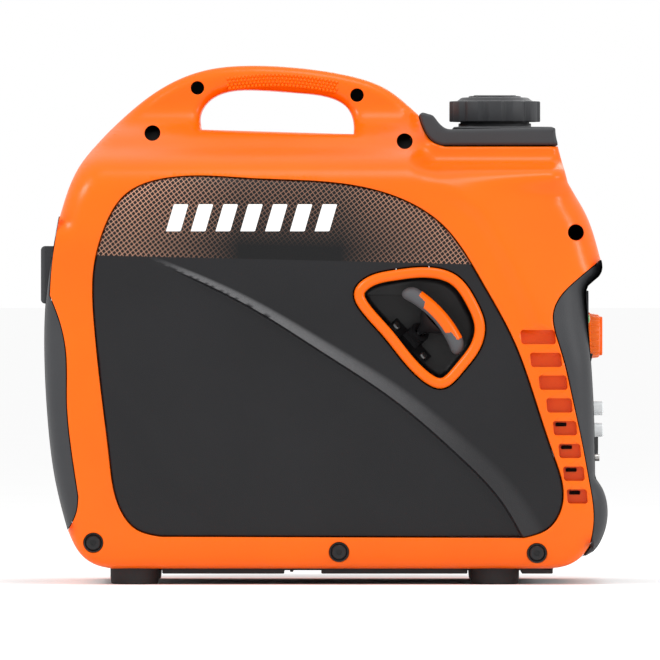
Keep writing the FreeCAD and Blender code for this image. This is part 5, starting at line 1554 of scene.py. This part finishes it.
@dataclass
class StarterRecess:
    """The recess with its orange ring, the cup behind it, and the handle on its rope."""

    # where along the grip the orange shell's edge bends, and how far round it lies there
    KNEES = (0.0, 0.14, 0.165, 0.27, 0.31, 0.70, 0.74, 0.86, 0.885, 1.0)
    SHORES = (1.4, 1.4, 0.40, 0.25, -0.62, -0.62, 0.20, 0.38, 1.4, 1.4)

    ring_width: float = 9.2 * MM
    proud: float = 3.9 * MM
    grip_length: float = 75 * MM
    grip_radius: float = 7.8 * MM
    bow: float = 7.5 * MM

    def build(self) -> None:
        """Builds the ring, the cup and the grip."""
        edge = ring_edge()
        mid = offset(edge, self.ring_width / 2)
        line = np.stack([mid[:, 0], np.full(len(mid), -HALF_SIDE), mid[:, 1]], axis=1)
        half = self.ring_width / 2
        angles = np.linspace(0, math.pi, 21)
        bulge = [(half * math.cos(a), self.proud * math.sin(a)) for a in angles]
        section = np.array([*bulge, (-half, -4 * MM), (half, -4 * MM)])
        ring = tube("recess_ring", line, section, True, (0, -1, 0))
        fix_normals(ring)
        dress(ring, Finishes.ORANGE, "housing")
        dress(self.cup(edge), Finishes.BLACK, "housing", "starter_recess")
        self.grip()

    def cup(self, edge: np.ndarray) -> bpy.types.Object:
        """The cup: a drawn wall with a round foot and a flat floor.

        Args:
            edge: outer edge of the ring.

        Returns:
            The mesh object.
        """
        depth = -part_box("starter_recess")[1].y
        rows = [(7.4, HALF_SIDE - 0.2 * MM), (7.8, HALF_SIDE - 12 * MM), (8.4, depth + 12 * MM)]
        for a in np.linspace(0.15, math.pi / 2, 8):
            rows.append((8.4 + 6 * (1 - math.cos(a)), depth + 9 * MM * (1 - math.sin(a))))
        n = len(edge)
        verts: list[tuple[float, float, float]] = []
        faces: list[tuple[int, ...]] = []
        for r, (inn, y) in enumerate(rows):
            loop = offset(edge, inn * MM)
            verts += [(p[0], -y, p[1]) for p in loop]
            for k in range(n if r else 0):
                m = (k + 1) % n
                faces.append(((r - 1) * n + k, (r - 1) * n + m, r * n + m, r * n + k))
        faces += filled(loop, (len(rows) - 1) * n)
        cup = piece("recess_cup", verts, faces, 50)
        fix_normals(cup)
        cup.data.flip_normals()
        return cup

    def grip(self) -> None:
        """The bowed handle: a grey moulding with an orange shell let into its face."""
        low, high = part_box("starter_grip_insert")
        centre = (low + high) / 2
        slope = math.radians(48.2)
        along = Vector((math.cos(slope), 0, -math.sin(slope)))
        across = Vector((math.sin(slope), 0, math.cos(slope)))
        out = Vector((0, -1, 0))
        lift = (across + out).normalized()
        rows, turns = 150, 72
        r = self.grip_radius
        half = self.grip_length / 2
        places = np.zeros((rows, turns, 3))
        mask = np.zeros((rows, turns), bool)
        for i in range(rows):
            u = i / (rows - 1)
            t = -math.cos(math.pi * u)
            s = t * half
            cap = max(0.0, abs(s) - (half - r))
            radius = math.sqrt(max(r * r - cap * cap, 0.0)) * (0.86 + 0.16 * t * t)
            sag = self.bow * (0.38 - (s / half) ** 2)
            middle = centre + along * s + across * sag + out * (0.35 * sag)
            edge = float(np.interp((t + 1) / 2, self.KNEES, self.SHORES))
            for k in range(turns):
                a = 2 * math.pi * k / turns
                q, f = math.cos(a), math.sin(a)
                mask[i, k] = q > edge + 0.06 * math.sin(3 * a)
                swell = 0.45 * MM if mask[i, k] else 0.0
                away = across * q * 0.96 + out * f * 0.92
                places[i, k] = middle + away * (radius + swell * (radius / r))
        self.skin("grip_shell", places, mask, Finishes.ORANGE, "starter_grip_insert")
        self.skin("grip_core", places, ~mask, Finishes.GREY_RUBBER)
        self.yoke(centre, along, lift)
        self.rope()

    def rope(self) -> None:
        """The rope from its guide to the handle."""
        low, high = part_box("starter_rope_pull")
        middle = (low + high) / 2
        way = Vector((high.x - low.x, low.y - high.y, high.z - low.z)).normalized()
        reach_out = (high - low).length / 2 - 1.5 * MM
        start, end = middle - way * reach_out, middle + way * reach_out
        line = np.array([tuple(start.lerp(end, k / 60)) for k in range(61)])
        angles = np.linspace(0, 2 * math.pi, 16, endpoint=False)
        section = np.array([(1.9 * MM * math.cos(a), 1.9 * MM * math.sin(a)) for a in angles])
        rope = tube("pull_rope", line, section, False, (0, 0, 1))
        fix_normals(rope)
        rope.data.materials.append(Finishes.ROPE.material())
        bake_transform(rope)
        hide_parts("starter_rope_pull")

    def skin(self, name: str, places: np.ndarray, mask: np.ndarray, finish: Finish, *gone: str) -> None:
        """The part of the grip's surface where the mask holds.

        Args:
            name: name of the new object.
            places: (rows, turns, 3) points of the surface.
            mask: which of them the part has.
            finish: its finish.
            gone: names of the CAD sub-parts it stands for.
        """
        rows, turns = mask.shape
        faces = []
        for i in range(rows - 1):
            for k in range(turns):
                m = (k + 1) % turns
                if mask[i, k]:
                    faces.append((i * turns + k, i * turns + m, (i + 1) * turns + m, (i + 1) * turns + k))
        obj = piece(name, places.reshape(-1, 3), faces, 50)
        fix_normals(obj)
        dress(obj, finish, "starter_handle", *gone)

    def yoke(self, centre: Vector, along: Vector, lift: Vector) -> None:
        """The neck under the bar that takes the rope's knot.

        Args:
            centre: middle of the grip.
            along: the way along the bar.
            lift: the way from the neck to the bar.
        """
        neck = []
        for t, w, h in (
            (-2.0, 25, 8.5), (-8.0, 20, 8.5), (-13.0, 13.5, 8), (-18.0, 8.2, 7), (-24.0, 5.6, 5.6),
            (-26.0, 4.6, 4.6), (-26.4, 3.0, 3.0),
        ):
            neck.append((centre + lift * (t * MM), w / 2 * MM * 1.35, h / 2 * MM * 1.3))
        side = lift.cross(along)
        verts, faces, n = [], [], 32
        for at, w, h in neck:
            for k in range(n):
                a = 2 * math.pi * k / n
                verts.append(at + along * (w * math.cos(a)) + side * (h * math.sin(a)))
        for j in range(len(neck) - 1):
            for k in range(n):
                m = (k + 1) % n
                faces.append((j * n + k, j * n + m, (j + 1) * n + m, (j + 1) * n + k))
        faces.append(tuple(range((len(neck) - 1) * n, len(neck) * n)))
        obj = piece("grip_yoke", verts, faces, 50)
        fix_normals(obj)
        dress(obj, Finishes.BLACK, "starter_handle", "starter_grip")


@dataclass
class FuelDeck:
    """The deck moulding, the lobed cap and its vent knob."""

    lobes: int = 12

    def build(self) -> None:
        """Builds the deck moulding and the cap."""
        self.deck()
        self.cap()

    def deck(self) -> None:
        """A shallow dark tray whose rear end sweeps up against the handle."""
        sweep = (
            (16.9, 90.3), (17.3, 90.65), (18.2, 90.5), (19.2, 90.15), (19.9, 89.3), (20.9, 88.1),
            (21.7, 87.6), (22.9, 87.5),
        )
        heel = ((22.0, 84.35), (20.9, 84.35), (19.45, 85.0), (18.05, 86.85), (17.0, 89.9), (16.9, 90.3))
        outline = np.vstack([
            smooth(grid(sweep), 1.2 * MM)[:-1],
            resample(grid(((22.9, 87.5), (40.4, 87.8))), 4 * MM)[:-1],
            smooth(grid(((40.4, 87.8), (40.8, 87.7), (40.9, 87.2), (41.35, 84.6))), 1.2 * MM)[:-1],
            resample(grid(((41.3, 84.4), (22.0, 84.35))), 4 * MM)[:-1],
            smooth(grid(heel), 1.2 * MM)[:-1],
        ])
        deck = slab("deck_tray_blank", outline, -91.5 * MM, 91.5 * MM, 3.2 * MM)
        x, _ = middle_of("filler_neck")
        z = 0.877 * HEIGHT
        collar = lathe("deck_collar", [(r * MM, z + h * MM) for r, h in (
            (31.6, -4), (31.6, 4.4), (31.9, 5.0), (32.3, 5.0), (32.6, 4.6), (32.7, 1.2), (33.3, 0.3),
            (34.5, -0.2), (34.5, -4),
        )])
        shifted(collar, (x, 0, 0))
        course = rounded_box((0.232 * LENGTH, -84 * MM), (0.403 * LENGTH, 84 * MM), 12 * MM)
        angles = np.linspace(0, 2 * math.pi, 12, endpoint=False)
        rim = tube(
            "deck_rim",
            np.array([(p[0], p[1], z + 0.2 * MM) for p in course]),
            np.array([(1.6 * MM * math.cos(a), 1.1 * MM * math.sin(a)) for a in angles]),
            True,
            (0, 0, 1),
        )
        fix_normals(rim)
        dress(joined("deck_moulding", [deck, collar, rim]), Finishes.CHARCOAL, "housing", "fuel_deck_cover")

    def cap(self) -> None:
        """The lobed cap, stepped in towards the knob on top of it."""
        low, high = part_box("fuel_cap")
        x = (low.x + high.x) / 2
        base = low.z

        def lobed(angle: float, radius: float, height: float) -> float:
            """The radius with the rim's hollows cut in."""
            gap = max(0.0, -math.cos(angle * self.lobes)) ** 1.5
            share = min(1.0, max(0.0, (radius - 34 * MM) / (4 * MM)))
            ribs = 0.35 * MM * max(0.0, math.cos(angle * self.lobes * 5)) ** 4 * gap
            return radius - (2.5 * MM * gap - ribs) * share

        profile = [(r * MM, base + h * MM) for r, h in (
            (36.5, 14.0), (36.5, 0.6), (37.0, 0.0), (40.1, 0.0), (40.6, 0.3), (40.8, 0.9), (40.8, 17.2),
            (40.6, 18.0), (39.9, 18.4), (34.4, 18.7), (33.2, 19.1), (30.5, 21.2), (29.2, 21.7),
            (26.8, 21.9), (0.02, 21.9),
        )]
        cap = lathe("fuel_cap_moulding", profile, 480, lobed)
        fix_normals(cap)
        shifted(cap, (x, 0, 0))
        dress(cap, Finishes.CHARCOAL, "cap", "fuel_cap")
        k0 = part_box("fuel_cap_vent_knob")[0].z
        knob = lathe("vent_knob_disc", [(r * MM, k0 + h * MM) for r, h in (
            (0.02, 0), (23.2, 0), (23.5, 0.3), (23.5, 0.7), (22.9, 1.1), (21.5, 1.3), (14.0, 1.3), (0.02, 1.2),
        )], 96)
        loop = rounded_box((-19 * MM, -3.4 * MM), (19 * MM, 3.4 * MM), 3.2 * MM)
        bar = slab("vent_bar", loop, k0 + 0.8 * MM, k0 + 2.0 * MM, 0.6 * MM, "xy")
        fix_normals(knob)
        both = joined("vent_knob_moulding", [knob, bar])
        shifted(both, (x, 0, 0))
        dress(both, Finishes.CHARCOAL, "cap_vent", "fuel_cap_vent_knob")


@dataclass
class Underside:
    """The rubber feet and the base tray with its side rails."""

    rails: tuple[tuple[float, float], ...] = ((-143.8, -35.0), (-2.2, 128.0), (176.0, 204.0))

    def build(self) -> None:
        """Builds the feet and the tray."""
        low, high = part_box("rubber_feet")
        inset_x = (high.y - low.y) / 2 - 100 * MM
        feet = []
        for x in (low.x + inset_x, high.x - inset_x):
            for y in (-100 * MM, 100 * MM):
                foot = lathe("foot", [(r * MM, h * MM) for r, h in (
                    (0.02, 0.0), (19.2, 0.0), (20.3, 0.35), (21.0, 1.2), (21.6, 6.0), (21.7, 14.6),
                    (20.9, 15.3), (0.02, 15.3),
                )], 72)
                fix_normals(foot)
                feet.append(shifted(foot, (x, y, 0)))
        dress(joined("moulded_feet", feet), Finishes.RUBBER, "housing", "rubber_feet")
        loop = rounded_box((-0.30 * LENGTH, -104 * MM), (0.405 * LENGTH, 104 * MM), 10 * MM)
        plate = slab("tray_plate", loop, 12.2 * MM, 16 * MM, 1 * MM, "xy")
        parts = [plate]
        for x0, x1 in self.rails:
            for y in (-104 * MM, 96 * MM, -40 * MM, 32 * MM):
                rail = rounded_box((x0 * MM, 9.2 * MM), (x1 * MM, 13.4 * MM), 1.2 * MM)
                parts.append(slab("rail", rail, y, y + 8 * MM, 0.8 * MM))
        for k in range(9):
            x = (-120 + 30 * k) * MM
            rib = rounded_box((x, -94 * MM), (x + 3 * MM, 94 * MM), 1 * MM)
            parts.append(slab("rib", rib, 10.6 * MM, 13 * MM, 0.5 * MM, "xy"))
        dress(joined("base_tray_moulding", parts), Finishes.BLACK, "housing", "base_tray")


class Fasteners:
    """The socket heads in the shell's recesses."""

    def build(self) -> None:
        """Builds a black collar and a satin hexagon socket for every shell bolt."""
        collars, sockets_ = [], []
        for p in SHELL_BOLTS:
            at = grid([p])[0]
            for side in (STARTER, SERVICE):
                face = HALF_SIDE - 1.6 * MM
                turn = Matrix.Rotation(math.radians(90 * -side), 3, "X")
                place = (at[0], side * face, at[1])
                ring = lathe("collar", [(r * MM, h * MM) for r, h in (
                    (8.7, -4.0), (8.75, -0.6), (8.3, 0.1), (7.6, 0.15), (7.2, -0.5), (7.0, -1.1),
                    (6.6, -1.0), (5.4, -0.35), (4.6, -0.25), (4.4, -0.4), (4.4, -3.5),
                )], 48)
                fix_normals(ring)
                collars.append(shifted(ring, place, turn))

                def hexed(a: float, r: float, h: float) -> float:
                    """The radius, six-sided inside the socket."""
                    flat = math.cos(math.pi / 6) / math.cos((a % (math.pi / 3)) - math.pi / 6)
                    return r * flat if r < 4.0 * MM else r

                insert = lathe("socket", [(r * MM, h * MM) for r, h in (
                    (4.45, -0.9), (4.4, -0.35), (4.1, -0.2), (3.7, -0.25), (3.3, -0.5), (3.2, -2.6),
                    (0.02, -2.9),
                )], 48, hexed)
                fix_normals(insert)
                sockets_.append(shifted(insert, place, turn))
        dress(joined("bolt_collars", collars), Finishes.BOLT, "housing")
        dress(joined("bolt_sockets", sockets_), Finishes.DARK_STEEL, "housing")


@dataclass
class Knobs:
    """The engine dial, with a fluted rim and a raised pointer."""

    height: float = 14.6 * MM
    radius: float = 21.4 * MM

    def build(self) -> None:
        """Builds the dial on its shaft's place."""
        low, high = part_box("engine_dial")
        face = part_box("control_panel")[1].x + 0.6 * MM
        h = self.height / MM
        top = self.radius / MM

        def fluted(a: float, r: float, z: float) -> float:
            """The radius with the rim's flutes cut in."""
            return r - 0.7 * MM * max(0.0, math.cos(18 * a)) ** 4 if 17 * MM < r and z > 2 * MM else r

        disc = lathe("dial_disc", [(r * MM, z * MM) for r, z in (
            (0.02, 0), (top - 0.6, 0), (top, 0.5), (top, 3.0), (top - 1.0, 3.6), (top - 1.8, h - 4.2),
            (top - 3.0, h - 2.8), (top - 6.0, h - 2.4), (0.02, h - 2.4),
        )], 144, fluted)
        loop = rounded_box((-17.5 * MM, -4.2 * MM), (17.5 * MM, 4.2 * MM), 3.8 * MM)
        bar = slab("dial_pointer", loop, (h - 3.4) * MM, h * MM, 1.0 * MM, "xy")
        fix_normals(disc)
        dial = joined("engine_dial_moulding", [disc, bar])
        turn = Matrix.Rotation(math.radians(90), 3, "Y")
        shifted(dial, (face, (low.y + high.y) / 2, (low.z + high.z) / 2), turn)
        dress(dial, Finishes.ORANGE, "dial", "engine_dial")


@dataclass
class HandleGrip:
    """The rows of small pyramids moulded along the handle's side."""

    pitch: float = 3.4 * MM
    rise: float = 1.0 * MM

    def build(self) -> None:
        """Builds the texture on both sides of the handle."""
        top = smooth(grid(((-17.3, 97.3), (-10.0, 98.0), (-3.0, 97.6), (2.6, 96.6))), self.pitch)
        verts: list[tuple[float, float, float]] = []
        faces: list[tuple[int, ...]] = []
        for row in range(4):
            for k in range(len(top) - 1):
                shift = 0.5 if row % 2 else 0.0
                if shift and k == len(top) - 2:
                    continue
                centre = top[k + 1] if shift else top[k] / 2 + top[k + 1] / 2
                centre = centre - np.array([0, row * self.pitch * 0.86])
                way = top[k + 1] - top[k]
                way /= np.linalg.norm(way)
                side = np.array([-way[1], way[0]])
                h = self.pitch * 0.44
                y = -float(FORM.out(centre[None])[0]) + 0.05 * MM
                base = len(verts)
                for s, grow in ((0, 1.0), (self.rise, 0.35)):
                    for a, b in ((-1, -1), (1, -1), (1, 1), (-1, 1)):
                        p = centre + way * a * h * grow + side * b * h * grow
                        verts.append((p[0], y - s, p[1]))
                for j in range(4):
                    m = (j + 1) % 4
                    faces.append((base + j, base + m, base + 4 + m, base + 4 + j))
                faces.append(tuple(base + 4 + j for j in range(4)))
        grip = piece("handle_texture_starter", verts, faces, 20)
        fix_normals(grip)
        dress(grip, Finishes.ORANGE, "housing")
        dress(mirrored(grip, "handle_texture_service"), Finishes.ORANGE, "housing")


class Fittings:
    """The CAD sub-parts that keep their own shapes, each with its finish."""

    TABLE: dict[str, Finish] = {
        "exhaust_hood": Finishes.CHARCOAL,
        "chassis_bolts": Finishes.BOLT, "housing_screws": Finishes.DARK_STEEL, "rope_guide": Finishes.BLACK,
        "recoil_housing": Finishes.BOLT, "recoil_spring": Finishes.STEEL, "crankcase": Finishes.CAST,
        "main_bearings": Finishes.STEEL, "cylinder_block": Finishes.CAST, "cylinder_head": Finishes.CAST,
        "spark_plug": Finishes.STEEL, "spark_plug_boot": Finishes.RUBBER, "muffler": Finishes.HEAT,
        "tail_pipe": Finishes.HEAT, "carburettor": Finishes.CAST, "air_cleaner_case": Finishes.BLACK,
        "air_filter_foam": Finishes.FOAM, "engine_mounts": Finishes.RUBBER,
        "alternator_stator": Finishes.COPPER,
        "fuel_tank": Finishes.TANK, "filler_neck": Finishes.TANK, "fuel_hose": Finishes.RUBBER,
        "inverter_module": Finishes.CAST, "control_panel": Finishes.CHARCOAL,
        "switch_surrounds": Finishes.BLACK,
        "dc_socket": Finishes.STEEL, "ac_outlets": Finishes.OUTLET, "usb_ports": Finishes.BLACK,
        "status_lamps": Finishes.LENS, "ground_terminal": Finishes.STEEL, "crankshaft": Finishes.STEEL,
        "alternator_rotor": Finishes.STEEL, "cooling_fan": Finishes.BLACK, "starter_ratchet": Finishes.STEEL,
        "starter_reel": Finishes.BLACK, "reel_rope": Finishes.ROPE,
        "starter_rope_pull": Finishes.ROPE, "fuel_cap_gasket": Finishes.RUBBER,
        "economy_rocker": Finishes.BLACK, "ac_breaker_button": Finishes.CLEAR,
        "dc_breaker_button": Finishes.CLEAR, "usb_flap": Finishes.GREY_RUBBER, "dc_socket_cap": Finishes.RUBBER,
        "service_latch": Finishes.BLACK, "oil_dipstick_cap": Finishes.COPPER_PRINT,
    }

    def build(self) -> None:
        """Gives each sub-part its finish."""
        for name, finish in self.TABLE.items():
            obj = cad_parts[name]
            obj.data.materials.clear()
            obj.data.materials.append(finish.material())
            log.info("%s: %s", name, finish.name)


@dataclass
class Studio:
    """A pale floor, soft lights and the camera."""

    distance: float = 12.0
    elevation: float = 0.25
    target: tuple[float, float, float] = (5.6 * MM, -0.139, 226.3 * MM)
    width: float = 585.8 * MM

    def build(self) -> None:
        """Builds the stage, the lights and the camera."""
        self.floor()
        self.lights()
        self.camera()

    def floor(self) -> None:
        """A wide pale floor."""
        half = 90.0
        corners = [(-half, -half, 0), (half, -half, 0), (half, half, 0), (-half, half, 0)]
        floor = piece("studio_floor", corners, [(0, 1, 2, 3)])
        pale = Finish(
            "pale_floor", (0.96, 0.96, 0.96, 1), (0.95, 0.95, 0.95, 1), 0.9, "",
            depth=0.0, dust=0.0, specular=0.0,
        )
        floor.data.materials.append(pale.material())

    def lights(self) -> None:
        """Large soft lights: a key from the upper left, a fill and a top light."""
        for name, at, size, power in (
            ("key", (-1.7, -1.5, 1.9), 0.7, 30.0),
            ("fill", (2.3, -1.3, 1.1), 0.5, 16.0),
            ("top", (0.3, -0.7, 2.4), 0.8, 12.0),
            ("back", (0.6, 2.4, 1.6), 1.2, 8.0),
        ):
            data = bpy.data.lights.new(name, "AREA")
            data.size = size
            data.energy = power
            lamp = bpy.data.objects.new(name, data)
            lamp.location = at
            aim = Vector((0, 0, 0.22)) - Vector(at)
            lamp.rotation_mode = "QUATERNION"
            lamp.rotation_quaternion = aim.to_track_quat("-Z", "Y")
            bpy.context.scene.collection.objects.link(lamp)
        world = bpy.data.worlds.new("studio")
        world.use_nodes = True
        sky = world.node_tree.nodes["Background"]
        sky.inputs["Color"].default_value = (1, 1, 1, 1)
        sky.inputs["Strength"].default_value = 1.0
        bpy.context.scene.world = world
        bpy.context.scene.view_settings.view_transform = "Standard"

    def camera(self) -> None:
        """A long lens, almost square to the starter side."""
        data = bpy.data.cameras.new("camera")
        data.sensor_width = 36.0
        data.lens = 36.0 * self.distance / self.width
        data.clip_end = 400.0
        cam = bpy.data.objects.new("camera", data)
        tilt = math.radians(self.elevation)
        aim = Vector(self.target)
        cam.location = aim + Vector((0, -math.cos(tilt), math.sin(tilt))) * self.distance
        cam.rotation_mode = "QUATERNION"
        cam.rotation_quaternion = (aim - cam.location).to_track_quat("-Z", "Y")
        bpy.context.scene.collection.objects.link(cam)
        bpy.context.scene.camera = cam


def main() -> None:
    """Builds the machine's pieces in order."""
    logging.basicConfig(level=logging.INFO, format="%(name)s: %(message)s")
    parts = (
        Studio(), Housing(), SidePanels(), StarterRecess(), FuelDeck(), HandleGrip(), Underside(),
        Fasteners(), Knobs(), Fittings(),
    )
    for part in parts:
        part.build()
        log.info("built %s", type(part).__name__)


if __name__ == "__main__":
    main()
